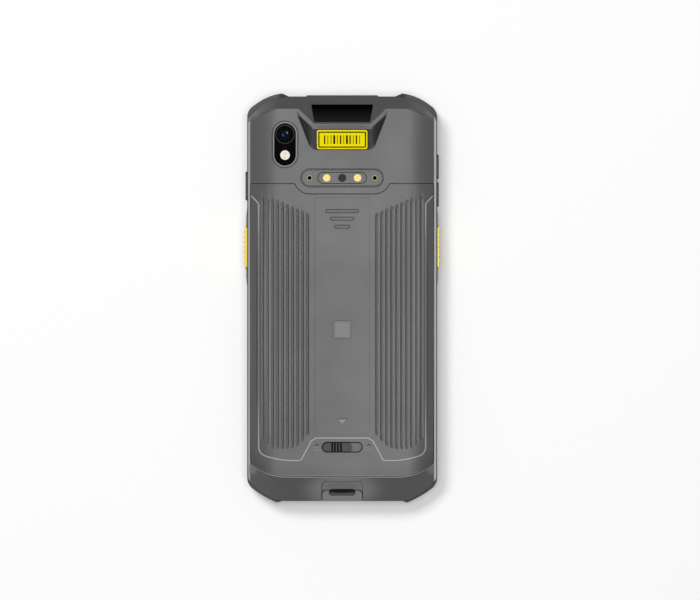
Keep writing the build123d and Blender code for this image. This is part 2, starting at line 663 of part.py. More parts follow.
def window_z(y):
    """Height of the slanted front face of the scanner hump over the plan position y."""
    return BACK_Z + (TOP_BEVEL_Y - y) / BEVEL_RUN


def window_under_z(y):
    """Height of the underside of the scan window over the plan position y."""
    return window_z(y) - (WINDOW_INSET + WINDOW_THICK) / cos(radians(BEVEL_ANGLE))


WINDOW_MIDDLE_Y = (WINDOW_FAR_Y + WINDOW_NEAR_Y) / 2
WINDOW_SLOPE_LENGTH = (WINDOW_FAR_Y - WINDOW_NEAR_Y) / cos(radians(BEVEL_ANGLE))
WINDOW_PLANE = Plane(
    origin=(0, WINDOW_MIDDLE_Y, window_z(WINDOW_MIDDLE_Y)),
    x_dir=(1, 0, 0),
    z_dir=BEVEL_PLANE.z_dir,
)
LABEL_ANGLE = degrees(atan((CREST_Z - BACK_Z) / (LABEL_TOP_Y - LABEL_FOOT_Y)))
LABEL_PLANE = Plane(
    origin=(0, (LABEL_TOP_Y + LABEL_FOOT_Y) / 2, (CREST_Z + BACK_Z) / 2),
    x_dir=(1, 0, 0),
    z_dir=(0, -sin(radians(LABEL_ANGLE)), cos(radians(LABEL_ANGLE))),
)

with BuildSketch() as window_sketch:
    with BuildLine():
        Polyline(
            (-WINDOW_NARROW, -WINDOW_SLOPE_LENGTH / 2),
            (WINDOW_NARROW, -WINDOW_SLOPE_LENGTH / 2),
            (WINDOW_WIDE, WINDOW_SLOPE_LENGTH / 2),
            (-WINDOW_WIDE, WINDOW_SLOPE_LENGTH / 2),
            close=True,
        )
    make_face()
    fillet(window_sketch.vertices(), WINDOW_CORNER_R)
WINDOW_FACE = window_sketch.sketch


def sunk_window(face, depth):
    """Cutter that sinks a face drawn on the slanted front of the hump to a depth."""
    with BuildPart() as cutter:
        with BuildSketch(WINDOW_PLANE.offset(-depth)):
            add(face)
        extrude(amount=depth + SPARE)
    return cutter.part


WINDOW_SURROUND = sunk_window(inset_face(WINDOW_FACE, SURROUND_MARGIN), SURROUND_DEPTH)
WINDOW_SEAT = sunk_window(WINDOW_FACE, WINDOW_INSET + WINDOW_THICK)
with BuildPart() as aperture:
    with BuildSketch(WINDOW_PLANE.offset(-WINDOW_INSET - WINDOW_THICK / 2)):
        add(inset_face(WINDOW_FACE, -APERTURE_INSET))
    extrude(amount=window_z(WINDOW_NEAR_Y) - UPPER_CAVITY_Z, dir=(0, 0, -1))
WINDOW_APERTURE = aperture.part
with BuildPart() as label_cutter:
    with BuildSketch(LABEL_PLANE.offset(-LABEL_SINK)):
        RectangleRounded(LABEL_LENGTH, LABEL_HEIGHT, LABEL_CORNER_R)
    extrude(amount=SPARE)
LABEL_SEAT = label_cutter.part


# ------------------------------------------------------------------ decoration of the battery cover
def rib_section(x, y, depth):
    """Cross section of a groove at one place along it."""
    with BuildSketch(Plane.XZ.offset(-y)) as section:
        with BuildLine():
            Polyline(
                (x - RIB_MOUTH / 2, BACK_Z + SPARE),
                (x - RIB_MOUTH / 2, crown_z(x - RIB_MOUTH / 2) + TRIM),
                (x - RIB_FLOOR / 2, crown_z(x) - depth),
                (x + RIB_FLOOR / 2, crown_z(x) - depth),
                (x + RIB_MOUTH / 2, crown_z(x + RIB_MOUTH / 2) + TRIM),
                (x + RIB_MOUTH / 2, BACK_Z + SPARE),
                close=True,
            )
        make_face()
    return section.sketch


def rib_groove(x, foot, top):
    """Cutter of one groove, which fades into the back at both ends."""
    with BuildPart() as cutter:
        loft(
            [
                rib_section(x, top, -TRIM),
                rib_section(x, top - RIB_FADE[0], RIB_DEPTH),
                rib_section(x, foot + RIB_FADE[1], RIB_DEPTH),
                rib_section(x, foot, -TRIM),
            ],
            ruled=True,
        )
    return cutter.part


with BuildPart() as rib_field:
    for index, rise in enumerate(RIB_FOOT):
        drop = RIB_TOP[0] + (RIB_TOP[1] - RIB_TOP[0]) * index / (RIB_COUNT - 1)
        add(
            rib_groove(
                RIB_OUTER_X - index * RIB_PITCH, BOTTOM_BEVEL_Y + rise, COVER_TOP_Y - drop
            )
        )
    mirror(about=Plane.YZ)
RIB_GROOVES = rib_field.part

with BuildSketch() as panel_sketch:
    with Locations((0, (PANEL_FOOT_Y + PANEL_TOP_Y) / 2)):
        Rectangle(2 * PANEL_HALF_WIDTH, PANEL_TOP_Y - PANEL_FOOT_Y)
    fillet(panel_sketch.vertices().group_by(Axis.Y)[0], PANEL_FOOT_R)
    fillet(panel_sketch.vertices().group_by(Axis.Y)[-1], PANEL_HEAD_R)
PANEL_FACE = panel_sketch.sketch
with BuildSketch() as bar_sketch:
    for drop, length in zip(BAR_DROP, BAR_LENGTH):
        with Locations((0, COVER_TOP_Y - drop)):
            SlotOverall(length, BAR_HEIGHT)
            SlotOverall(length - 2 * BAR_LINE, BAR_HEIGHT - 2 * BAR_LINE, mode=Mode.SUBTRACT)
BAR_LINES = bar_sketch.sketch
with BuildSketch() as badge_sketch:
    with Locations((0, BADGE_Y)):
        RectangleRounded(BADGE_SIZE, BADGE_SIZE, BADGE_CORNER_R)
BADGE_FACE = badge_sketch.sketch
with BuildSketch() as arrow_sketch:
    with BuildLine():
        Polyline(
            (-ARROW_WIDTH / 2, ARROW_TOP_Y),
            (ARROW_WIDTH / 2, ARROW_TOP_Y),
            (0, ARROW_TOP_Y - ARROW_HEIGHT),
            close=True,
        )
    make_face()
ARROW_FACE = arrow_sketch.sketch
with BuildSketch() as strip_sketch:
    with BuildLine():
        strip_side = (STRIP_X, BOTTOM_BEVEL_Y + STRIP_SIDE_FOOT)
        corner_start, corner_end = [(STRIP_X - x, BOTTOM_BEVEL_Y + y) for x, y in STRIP_CORNER]
        FilletPolyline(
            *[(STRIP_X + x, COVER_TOP_Y - y) for x, y in STRIP_HEAD], strip_side, radius=STRIP_HEAD_R
        )
        TangentArc(strip_side, corner_start, tangent=(0, -1))
        TangentArc(corner_start, corner_end, tangent=(-1, -STRIP_CORNER_SLOPE))
        FilletPolyline(
            corner_end,
            *[(STRIP_X - x, BOTTOM_BEVEL_Y + y) for x, y in STRIP_INNER],
            (0, BOTTOM_BEVEL_Y + STRIP_INNER[-1][1]),
            radius=STRIP_BEND_R,
        )
        mirror(about=Plane.YZ)
    trace(line_width=STRIP_WIDTH)
STRIP_FACE = strip_sketch.sketch


def finish(builder, name):
    """Label a finished piece and write it as its own STEP file."""
    builder.part.label = name
    export_step(builder.part, f"parts/{name}.step")


def mirrored(part):
    """The same piece on the other side of the terminal."""
    return mirror(part, about=Plane.YZ, mode=Mode.PRIVATE)


def keyway(side, span, height):
    """Opening in a side wall for a key, with its running clearance."""
    reach = height / 2 + KEY_GAP
    return slab(
        side_span(side, SIDE_WALL_X - SPARE, HALF_WIDTH + 2 * SPARE),
        (span[0] - KEY_GAP, span[1] + KEY_GAP),
        (KEY_Z - reach, KEY_Z + reach),
    )


def key_bay(side, span):
    """Space behind a side wall for a key's flange and switch."""
    return slab(
        side_span(side, KEY_BAY_X, SIDE_WALL_X),
        (span[0] - KEY_BAY_MARGIN, span[1] + KEY_BAY_MARGIN),
        KEY_BAY_Z,
    )


# ------------------------------------------------------------------ rear housing
with BuildPart() as rear_housing:
    add(back_form.part)
    with BuildSketch(Plane.XY.offset(PARTING_Z)):
        add(HOUSING_PLAN)
        with BuildLine():
            Polyline(
                (-LEDGE_HALF_WIDTH - LEDGE_RISE, TOP_END_Y),
                (-LEDGE_HALF_WIDTH, TOP_END_Y + LEDGE_RISE),
                (LEDGE_HALF_WIDTH, TOP_END_Y + LEDGE_RISE),
                (LEDGE_HALF_WIDTH + LEDGE_RISE, TOP_END_Y),
                close=True,
            )
        make_face()
    extrude(amount=TALL, mode=Mode.INTERSECT)

    # seat of the battery cover, its hooks and the bay
    add(sunk(COVER_PLAN, COVER_WALL + SEAT_GAP), mode=Mode.SUBTRACT)
    add(column(BAY_FACE, BAY_FLOOR_Z), mode=Mode.SUBTRACT)
    for side in SIDES:
        hook_room = slab(
            side_span(side, HOOK_SPAN[0] - HOOK_ROOM, HOOK_SPAN[1] + HOOK_ROOM),
            (COVER_TOP_Y - HOOK_SWING, COVER_TOP_Y + HOOK_REACH + HOOK_ROOM),
            (BACK_Z - HOOK_SWING - HOOK_ROOM, BACK_Z),
        )
        add(hook_room & lowered(COVER_WALL), mode=Mode.SUBTRACT)
    bolt_room = slab(
        (-BOLT_HALF_WIDTH - BOLT_GAP, BOLT_HALF_WIDTH + LATCH_TRAVEL + BOLT_GAP),
        (BOLT_END_Y - BOLT_GAP, BAY_FOOT_Y + BOLT_GAP),
        (BACK_Z - COVER_WALL - 2 * BOLT_GAP - BOLT_THICK, BACK_Z - COVER_WALL),
    )
    add(bolt_room, mode=Mode.SUBTRACT)
    add(GASKET_CHANNEL, mode=Mode.SUBTRACT)

    # accessory contacts, inserts and camera
    add(sunk(inset_face(CONTACT_FACE, CONTACT_GROOVE), GROOVE_DEPTH), mode=Mode.SUBTRACT)
    add(sunk(CONTACT_FACE, CONTACT_DEPTH), mode=Mode.SUBTRACT)
    with BuildSketch(Plane.XY.offset(BACK_Z - INSERT_LENGTH)):
        with Locations((-INSERT_X, CONTACT_Y), (INSERT_X, CONTACT_Y)):
            Circle(INSERT_R)
    extrude(amount=INSERT_LENGTH, mode=Mode.SUBTRACT)
    add(sunk(inset_face(CAMERA_TRIM_FACE, CAMERA_GROOVE), GROOVE_DEPTH), mode=Mode.SUBTRACT)
    add(sunk(CAMERA_TRIM_FACE, CAMERA_POCKET), mode=Mode.SUBTRACT)
    with BuildSketch(Plane.XY.offset(UPPER_CAVITY_Z)):
        with Locations((CAMERA_CENTRE[0], LENS_Y)):
            Circle(LENS_BARREL_R + CAMERA_GROOVE)
    extrude(amount=BACK_Z - UPPER_CAVITY_Z, mode=Mode.SUBTRACT)

    # rooms for the electronics at both ends
    for y_span, top in ((UPPER_CAVITY_Y, UPPER_CAVITY_Z), (LOWER_CAVITY_Y, LOWER_CAVITY_Z)):
        cavity = slab((-CAVITY_HALF_WIDTH, CAVITY_HALF_WIDTH), y_span, (PARTING_Z - SPARE, top))
        add(cavity, mode=Mode.SUBTRACT)
    add(
        slab(
            (-PORT_CAVITY_HALF_WIDTH, PORT_CAVITY_HALF_WIDTH),
            PORT_CAVITY_Y,
            (PARTING_Z - SPARE, PORT_CAVITY_Z),
        ),
        mode=Mode.SUBTRACT,
    )

    # scan window and its aperture
    add(WINDOW_SURROUND, mode=Mode.SUBTRACT)
    add(WINDOW_SEAT, mode=Mode.SUBTRACT)
    add(WINDOW_APERTURE, mode=Mode.SUBTRACT)
    add(LABEL_SEAT, mode=Mode.SUBTRACT)

    # side controls
    for side, span, height in KEYWAYS:
        add(keyway(side, span, height), mode=Mode.SUBTRACT)
        add(key_bay(side, span), mode=Mode.SUBTRACT)

    # port end: notch, room for the flap and the port itself
    add(sunk(NOTCH_FACE, NOTCH_DEPTH), mode=Mode.SUBTRACT)
    add(sunk(FLAP_SEAT_FACE, FLAP_THICK + FLAP_GAP), mode=Mode.SUBTRACT)
    add(sunk(NAIL_FACE, NAIL_SLOT_DEPTH), mode=Mode.SUBTRACT)
    add(
        slab(
            (-NOTCH_HALF_WIDTH, NOTCH_HALF_WIDTH),
            (BOTTOM_END_Y - SPARE, NOTCH_WALL_Y),
            (PARTING_Z - SPARE, BACK_Z),
        ),
        mode=Mode.SUBTRACT,
    )
    with BuildSketch(PORT_PLANE):
        SlotOverall(*PORT_HOLE)
    extrude(amount=NOTCH_WALL_Y - PORT_CAVITY_Y[0] - SPARE, mode=Mode.SUBTRACT)

    # screws through the bay floor
    with BuildSketch(Plane.XY.offset(PARTING_Z)):
        with Locations(*SCREW_PLACES):
            Circle(SCREW_R)
    extrude(amount=BAY_FLOOR_Z - PARTING_Z, mode=Mode.SUBTRACT)
    with BuildSketch(Plane.XY.offset(BAY_FLOOR_Z - SCREW_HEAD_HEIGHT)):
        with Locations(*SCREW_PLACES):
            Circle(SCREW_HEAD_R)
    extrude(amount=SCREW_HEAD_HEIGHT, mode=Mode.SUBTRACT)
finish(rear_housing, "rear_housing")

# ------------------------------------------------------------------ front housing and its contents
with BuildPart() as front_housing:
    with BuildSketch(Plane.XY.offset(BEZEL_Z)):
        add(HOUSING_PLAN)
    extrude(amount=PARTING_Z - BEZEL_Z)
    with BuildSketch(Plane.XY.offset(BEZEL_Z)):
        add(rounded(2 * GLASS_HALF_WIDTH, *GLASS_Y, GLASS_CORNER_R))
    extrude(amount=GLASS_BACK_Z - BEZEL_Z, mode=Mode.SUBTRACT)
    with BuildSketch(Plane.XY.offset(GLASS_BACK_Z)):
        add(rounded(2 * DISPLAY_HALF_WIDTH, *DISPLAY_Y, DISPLAY_CORNER_R))
    extrude(amount=CHASSIS_Z - GLASS_BACK_Z, mode=Mode.SUBTRACT)
    with BuildSketch(Plane.XY.offset(CHASSIS_Z)):
        add(rounded(2 * CHASSIS_HALF_WIDTH, *CHASSIS_Y, CHASSIS_CORNER_R))
    extrude(amount=PARTING_Z - CHASSIS_Z, mode=Mode.SUBTRACT)
    with BuildSketch(Plane.XY.offset(BEZEL_Z)):
        add(pill(*EARPIECE, (0, EARPIECE_Y)))
        with Locations((FRONT_LENS_X, EARPIECE_Y)):
            Circle(FRONT_LENS_R)
    extrude(amount=FRONT_TRIM_DEPTH, mode=Mode.SUBTRACT)
    add(
        slab(
            (-NOTCH_HALF_WIDTH, NOTCH_HALF_WIDTH),
            (BOTTOM_END_Y - SPARE, NOTCH_WALL_Y),
            (FLAP_PIN_Z - FLAP_KNUCKLE_R - PIN_CLEARANCE, PARTING_Z + SPARE),
        ),
        mode=Mode.SUBTRACT,
    )
    with BuildSketch(Plane.YZ):
        with Locations((FLAP_PIN_Y, FLAP_PIN_Z)):
            Circle(FLAP_PIN_R)
    extrude(amount=NOTCH_HALF_WIDTH + PIN_EMBED, both=True, mode=Mode.SUBTRACT)
    fillet(front_housing.faces().sort_by(Axis.Z)[0].outer_wire().edges(), BEZEL_EDGE_R)
    with BuildSketch(Plane.XY.offset(PARTING_Z - PARTING_GROOVE[1])):
        add(HOUSING_PLAN)
        offset(amount=-PARTING_GROOVE[0], kind=Kind.INTERSECTION, mode=Mode.SUBTRACT)
    extrude(amount=PARTING_GROOVE[1], mode=Mode.SUBTRACT)
finish(front_housing, "front_housing")

with BuildPart() as display_glass:
    with BuildSketch(Plane.XY.offset(GLASS_FACE_Z)):
        add(
            rounded(
                2 * (GLASS_HALF_WIDTH - GLASS_FIT),
                GLASS_Y[0] + GLASS_FIT,
                GLASS_Y[1] - GLASS_FIT,
                GLASS_CORNER_R - GLASS_FIT,
            )
        )
    extrude(amount=COVER_GLASS_THICK)
    chamfer(display_glass.faces().sort_by(Axis.Z)[0].edges(), GLASS_EDGE)
finish(display_glass, "display_glass")

with BuildPart() as display_module:
    with BuildSketch(Plane.XY.offset(GLASS_BACK_Z)):
        add(
            rounded(
                2 * (DISPLAY_HALF_WIDTH - GLASS_FIT),
                DISPLAY_Y[0] + GLASS_FIT,
                DISPLAY_Y[1] - GLASS_FIT,
                DISPLAY_CORNER_R - GLASS_FIT,
            )
        )
    extrude(amount=CHASSIS_Z - GLASS_BACK_Z)
finish(display_module, "display_module")

with BuildPart() as chassis_plate:
    with BuildSketch(Plane.XY.offset(CHASSIS_Z)):
        add(rounded(2 * CHASSIS_HALF_WIDTH, *CHASSIS_Y, CHASSIS_CORNER_R))
        with Locations(*SCREW_PLACES):
            Circle(SCREW_R, mode=Mode.SUBTRACT)
    extrude(amount=CHASSIS_THICK)
finish(chassis_plate, "chassis_plate")

with BuildPart() as earpiece_grille:
    with BuildSketch(Plane.XY.offset(BEZEL_Z + GLASS_FIT)):
        add(pill(*EARPIECE, (0, EARPIECE_Y)))
        with Locations((0, EARPIECE_Y)):
            with GridLocations(GRILLE_PITCH, GRILLE_PITCH, GRILLE_COUNT, 1):
                Circle(GRILLE_HOLE_R, mode=Mode.SUBTRACT)
    extrude(amount=FRONT_TRIM_DEPTH - GLASS_FIT)
finish(earpiece_grille, "earpiece_grille")

with BuildPart() as front_camera_lens:
    with BuildSketch(Plane.XY.offset(BEZEL_Z + GLASS_FIT)):
        with Locations((FRONT_LENS_X, EARPIECE_Y)):
            Circle(FRONT_LENS_R)
    extrude(amount=FRONT_TRIM_DEPTH - GLASS_FIT)
finish(front_camera_lens, "front_camera_lens")

with BuildPart() as housing_screws:
    with BuildSketch(Plane.XY.offset(CHASSIS_Z)):
        with Locations(*SCREW_PLACES):
            Circle(SCREW_R)
    extrude(amount=BAY_FLOOR_Z - SCREW_HEAD_HEIGHT - CHASSIS_Z)
    with BuildSketch(Plane.XY.offset(BAY_FLOOR_Z - SCREW_HEAD_HEIGHT)):
        with Locations(*SCREW_PLACES):
            Circle(SCREW_HEAD_R)
    extrude(amount=SCREW_HEAD_HEIGHT)
    with BuildSketch(Plane.XY.offset(BAY_FLOOR_Z - SCREW_HEAD_HEIGHT / 2)):
        with Locations(*SCREW_PLACES):
            RegularPolygon(SCREW_R, 6)
    extrude(amount=SCREW_HEAD_HEIGHT, mode=Mode.SUBTRACT)
finish(housing_screws, "housing_screws")

# ------------------------------------------------------------------ corner bumpers
for name, x_side, y_side in BUMPERS:
    with BuildPart() as corner_bumper:
        add(lowered(BUMPER_STEP))
        with BuildSketch(Plane.XY.offset(PARTING_Z)):
            add(OUTER_PLAN)
            add(HOUSING_PLAN, mode=Mode.SUBTRACT)
            with Locations((x_side * QUADRANT / 2, y_side * QUADRANT / 2)):
                Rectangle(QUADRANT, QUADRANT, mode=Mode.INTERSECT)
        bumper_face = corner_bumper.pending_faces[0]
        extrude(amount=TALL, mode=Mode.INTERSECT)
        extrude(bumper_face, amount=-PARTING_Z)
    finish(corner_bumper, name)

# ------------------------------------------------------------------ scanner
with BuildPart() as scan_window:
    with BuildSketch(WINDOW_PLANE.offset(-WINDOW_INSET)):
        add(WINDOW_FACE)
    extrude(amount=-WINDOW_THICK)
finish(scan_window, "scan_window")

with BuildPart() as scan_bracket:
    add(slab((-BRACKET_HALF_WIDTH, BRACKET_HALF_WIDTH), ENGINE_Y, (BOARD_TOP_Z, BRACKET_TOP_Z)))
    for side in SIDES:
        ear = side_span(side, BRACKET_HALF_WIDTH - BRACKET_THICK, BRACKET_HALF_WIDTH)
        add(slab(ear, ENGINE_Y, (BOARD_TOP_Z, BRACKET_EAR_Z)))
finish(scan_bracket, "scan_bracket")

with BuildPart() as scan_engine:
    add(
        slab(
            (-ENGINE_HALF_WIDTH, ENGINE_HALF_WIDTH),
            ENGINE_Y,
            (BRACKET_TOP_Z, UPPER_CAVITY_Z - NOSE_GAP),
        )
    )
    with BuildSketch(Plane.YZ):
        with BuildLine():
            Polyline(
                (NOSE_Y[0], BRACKET_TOP_Z),
                (NOSE_Y[1], BRACKET_TOP_Z),
                (NOSE_Y[1], window_under_z(NOSE_Y[1]) - NOSE_GAP),
                (NOSE_Y[0], window_under_z(NOSE_Y[0]) - NOSE_GAP),
                close=True,
            )
        make_face()
    extrude(amount=WINDOW_NARROW - APERTURE_INSET - NOSE_GAP, both=True)
finish(scan_engine, "scan_engine")

with BuildPart() as label_plate:
    with BuildSketch(LABEL_PLANE.offset(-LABEL_SINK)):
        RectangleRounded(LABEL_LENGTH, LABEL_HEIGHT, LABEL_CORNER_R)
    extrude(amount=LABEL_THICK)
finish(label_plate, "label_plate")

# ------------------------------------------------------------------ camera
with BuildPart() as camera_trim:
    add(lowered(-TRIM_PROUD))
    with BuildSketch(Plane.XY.offset(PARTING_Z)):
        add(CAMERA_TRIM_FACE)
    extrude(amount=TALL, mode=Mode.INTERSECT)
    add(lowered(CAMERA_POCKET), mode=Mode.SUBTRACT)
    add(column(CAMERA_GLASS_FACE, CAMERA_GLASS_FOOT_Z), mode=Mode.SUBTRACT)
    add(column(inset_face(CAMERA_GLASS_FACE, -GLASS_LEDGE)), mode=Mode.SUBTRACT)
finish(camera_trim, "camera_trim")

with BuildPart() as camera_window:
    with BuildSketch(Plane.XY.offset(CAMERA_GLASS_FOOT_Z)):
        add(CAMERA_GLASS_FACE)
        with Locations((CAMERA_CENTRE[0], LENS_Y)):
            Circle(LENS_R, mode=Mode.SUBTRACT)
        with Locations((CAMERA_CENTRE[0], FLASH_Y)):
            Circle(FLASH_R, mode=Mode.SUBTRACT)
    extrude(amount=GLASS_THICK)
    with BuildSketch(Plane.XY.offset(CAMERA_GLASS_FOOT_Z + GLASS_THICK)):
        with Locations((CAMERA_CENTRE[0], LENS_Y)):
            Circle(LENS_RIM_R)
            Circle(LENS_RIM_R - LENS_RIM_WIDTH, mode=Mode.SUBTRACT)
    extrude(amount=LENS_RIM_HEIGHT)
finish(camera_window, "camera_window")

with BuildPart() as camera_lens:
    with BuildSketch(Plane.XY.offset(CAMERA_GLASS_FOOT_Z)):
        with Locations((CAMERA_CENTRE[0], LENS_Y)):
            Circle(LENS_R)
    extrude(amount=GLASS_THICK)
    chamfer(camera_lens.faces().sort_by(Axis.Z)[-1].edges(), LENS_EDGE)
finish(camera_lens, "camera_lens")

with BuildPart() as flash_lens:
    with BuildSketch(Plane.XY.offset(CAMERA_GLASS_FOOT_Z)):
        with Locations((CAMERA_CENTRE[0], FLASH_Y)):
            Circle(FLASH_R)
    extrude(amount=GLASS_THICK)
finish(flash_lens, "flash_lens")

with BuildPart() as camera_module:
    with BuildSketch(Plane.XY.offset(CAMERA_MODULE_FOOT_Z)):
        with Locations((CAMERA_CENTRE[0], LENS_Y)):
            RectangleRounded(CAMERA_MODULE, CAMERA_MODULE, SMALL_CORNER_R)
    extrude(amount=UPPER_CAVITY_Z - BOARD_INSET / 2 - CAMERA_MODULE_FOOT_Z)
    with BuildSketch(Plane.XY.offset(CAMERA_MODULE_FOOT_Z)):
        with Locations((CAMERA_CENTRE[0], LENS_Y)):
            Circle(LENS_BARREL_R)
    extrude(amount=CAMERA_GLASS_FOOT_Z - CAMERA_MODULE_FOOT_Z)
finish(camera_module, "camera_module")

# ------------------------------------------------------------------ accessory contacts
with BuildPart() as contact_plate:
    with BuildSketch(Plane.XY.offset(BACK_Z - CONTACT_DEPTH)):
        add(CONTACT_FACE)
        with Locations((0, CONTACT_Y)):
            SlotOverall(*CONTACT_BLOCK, mode=Mode.SUBTRACT)
            with Locations((-INSERT_X, 0), (INSERT_X, 0)):
                Circle(INSERT_R, mode=Mode.SUBTRACT)
    extrude(amount=CONTACT_DEPTH)
    chamfer(contact_plate.faces().sort_by(Axis.Z)[-1].outer_wire().edges(), CONTACT_EDGE)
finish(contact_plate, "contact_plate")

with BuildPart() as contact_block:
    with BuildSketch(Plane.XY.offset(BACK_Z - CONTACT_DEPTH)):
        with Locations((0, CONTACT_Y)):
            SlotOverall(*CONTACT_BLOCK)
    extrude(amount=CONTACT_DEPTH - BLOCK_SINK)
    chamfer(contact_block.faces().sort_by(Axis.Z)[-1].edges(), BLOCK_RIM)
    with BuildSketch(Plane.XY.offset(PAD_FOOT_Z)):
        with Locations((-PAD_X, CONTACT_Y), (0, CONTACT_Y), (PAD_X, CONTACT_Y)):
            Circle(PAD_R)
    extrude(amount=PAD_THICK, mode=Mode.SUBTRACT)
finish(contact_block, "contact_block")

with BuildPart() as contact_pads:
    with BuildSketch(Plane.XY.offset(PAD_FOOT_Z)):
        with Locations((-PAD_X, CONTACT_Y), (PAD_X, CONTACT_Y)):
            Circle(PAD_R)
    extrude(amount=PAD_THICK)
    chamfer(contact_pads.faces().group_by(Axis.Z)[-1].edges(), CONTACT_EDGE)
finish(contact_pads, "contact_pads")

with BuildPart() as contact_plug:
    with BuildSketch(Plane.XY.offset(PAD_FOOT_Z)):
        with Locations((0, CONTACT_Y)):
            Circle(PAD_R)
    extrude(amount=PAD_THICK - PAD_PROUD)
finish(contact_plug, "contact_plug")

with BuildPart() as grip_inserts:
    with BuildSketch(Plane.XY.offset(BACK_Z - INSERT_LENGTH)):
        with Locations((-INSERT_X, CONTACT_Y), (INSERT_X, CONTACT_Y)):
            Circle(INSERT_R)
            Circle(INSERT_BORE_R, mode=Mode.SUBTRACT)
    extrude(amount=INSERT_LENGTH)
finish(grip_inserts, "grip_inserts")

# ------------------------------------------------------------------ inner electronics
with BuildPart() as main_board:
    with BuildSketch(Plane.XY.offset(BOARD_Z)):
        add(
            rounded(
                2 * (CAVITY_HALF_WIDTH - BOARD_INSET),
                LOWER_CAVITY_Y[0] + BOARD_INSET,
                UPPER_CAVITY_Y[1] - BOARD_INSET,
                BOARD_CORNER_R,
            )
        )
    extrude(amount=BOARD_THICK)
finish(main_board, "main_board")

with BuildPart() as shield_cans:
    for x_span, y_span in SHIELD_CANS:
        add(slab(x_span, y_span, (BOARD_TOP_Z, BOARD_TOP_Z + SHIELD_HEIGHT)))
    fillet(shield_cans.edges().filter_by(Axis.Z), SMALL_CORNER_R)
finish(shield_cans, "shield_cans")

with BuildPart() as sub_board:
    with BuildSketch(Plane.XY.offset(SUB_BOARD_Z)):
        add(
            rounded(
                2 * (PORT_CAVITY_HALF_WIDTH - BOARD_INSET),
                PORT_CAVITY_Y[0] + BOARD_INSET,
                PORT_CAVITY_Y[1] - BOARD_INSET,
                SMALL_CORNER_R,
            )
        )
    extrude(amount=SUB_BOARD_THICK)
finish(sub_board, "sub_board")

with BuildPart() as usb_receptacle:
    with BuildSketch(Plane.XZ.offset(-RECEPTACLE_Y[1])):
        with Locations((0, PORT_Z)):
            SlotOverall(*RECEPTACLE)
    extrude(amount=RECEPTACLE_Y[1] - RECEPTACLE_Y[0])
    with BuildSketch(Plane.XZ.offset(-RECEPTACLE_Y[0])):
        with Locations((0, PORT_Z)):
            SlotOverall(*RECEPTACLE_BORE)
            Rectangle(*PORT_TONGUE, mode=Mode.SUBTRACT)
    extrude(amount=-PORT_DEPTH, mode=Mode.SUBTRACT)
finish(usb_receptacle, "usb_receptacle")

with BuildPart() as loudspeaker:
    add(slab(SPEAKER_X, SPEAKER_Y, (SUB_BOARD_TOP_Z, SPEAKER_TOP_Z)))
    fillet(loudspeaker.edges().filter_by(Axis.Z), SPEAKER_CORNER_R)
finish(loudspeaker, "loudspeaker")

with BuildPart() as vibration_motor:
    with BuildSketch(Plane.XY.offset(SUB_BOARD_TOP_Z)):
        with Locations(MOTOR_CENTRE):
            Circle(MOTOR_R)
    extrude(amount=MOTOR_HEIGHT)
finish(vibration_motor, "vibration_motor")

with BuildPart() as side_switches:
    for side, span, height in KEYWAYS:
        middle = (span[0] + span[1]) / 2
        add(
            slab(
                side_span(side, KEY_BAY_X, KEY_BAY_X + SWITCH_SIZE[0]),
                (middle - SWITCH_SIZE[1] / 2, middle + SWITCH_SIZE[1] / 2),
                (KEY_Z - SWITCH_SIZE[2] / 2, KEY_Z + SWITCH_SIZE[2] / 2),
            )
        )
        add(
            slab(
                side_span(side, KEY_BAY_X + SWITCH_SIZE[0], PLUNGER_X),
                (middle - PLUNGER_HALF, middle + PLUNGER_HALF),
                (KEY_Z - PLUNGER_HALF, KEY_Z + PLUNGER_HALF),
            )
        )
finish(side_switches, "side_switches")

# ------------------------------------------------------------------ battery
with BuildPart() as battery_pack:
    with BuildSketch(Plane.XY.offset(BAY_FLOOR_Z + BATTERY_FIT)):
        add(
            rounded(
                2 * (BAY_HALF_WIDTH - BATTERY_GAP),
                BAY_FOOT_Y + BATTERY_GAP,
                BAY_TOP_Y - CONTACT_STRIP - BATTERY_GAP,
                BATTERY_CORNER_R - BATTERY_GAP,
            )
        )
    extrude(amount=BATTERY_TOP_Z - BAY_FLOOR_Z - BATTERY_FIT)
    fillet(battery_pack.faces().sort_by(Axis.Z)[-1].edges(), BATTERY_EDGE_R)
finish(battery_pack, "battery_pack")

with BuildPart() as battery_contacts:
    add(
        slab(
            (-CONTACT_STRIP_HALF, CONTACT_STRIP_HALF),
            (BAY_TOP_Y - CONTACT_STRIP, BAY_TOP_Y),
            (BAY_FLOOR_Z, CONTACT_STRIP_Z),
        )
    )
    for place in CONTACT_BLADES:
        add(
            slab(
                (place - BLADE_HALF, place + BLADE_HALF),
                (BAY_TOP_Y - CONTACT_STRIP - BATTERY_FIT, BAY_TOP_Y - CONTACT_STRIP),
                BLADE_Z,
            )
        )
finish(battery_contacts, "battery_contacts")

with BuildPart() as bay_gasket:
    add(lowered(COVER_WALL + GASKET_TOP_GAP))
    with BuildSketch(Plane.XY.offset(PARTING_Z)):
        add(GASKET_FACE)
    extrude(amount=TALL, mode=Mode.INTERSECT)
    add(lowered(COVER_WALL + SEAT_GAP + GASKET_SINK), mode=Mode.SUBTRACT)
finish(bay_gasket, "bay_gasket")

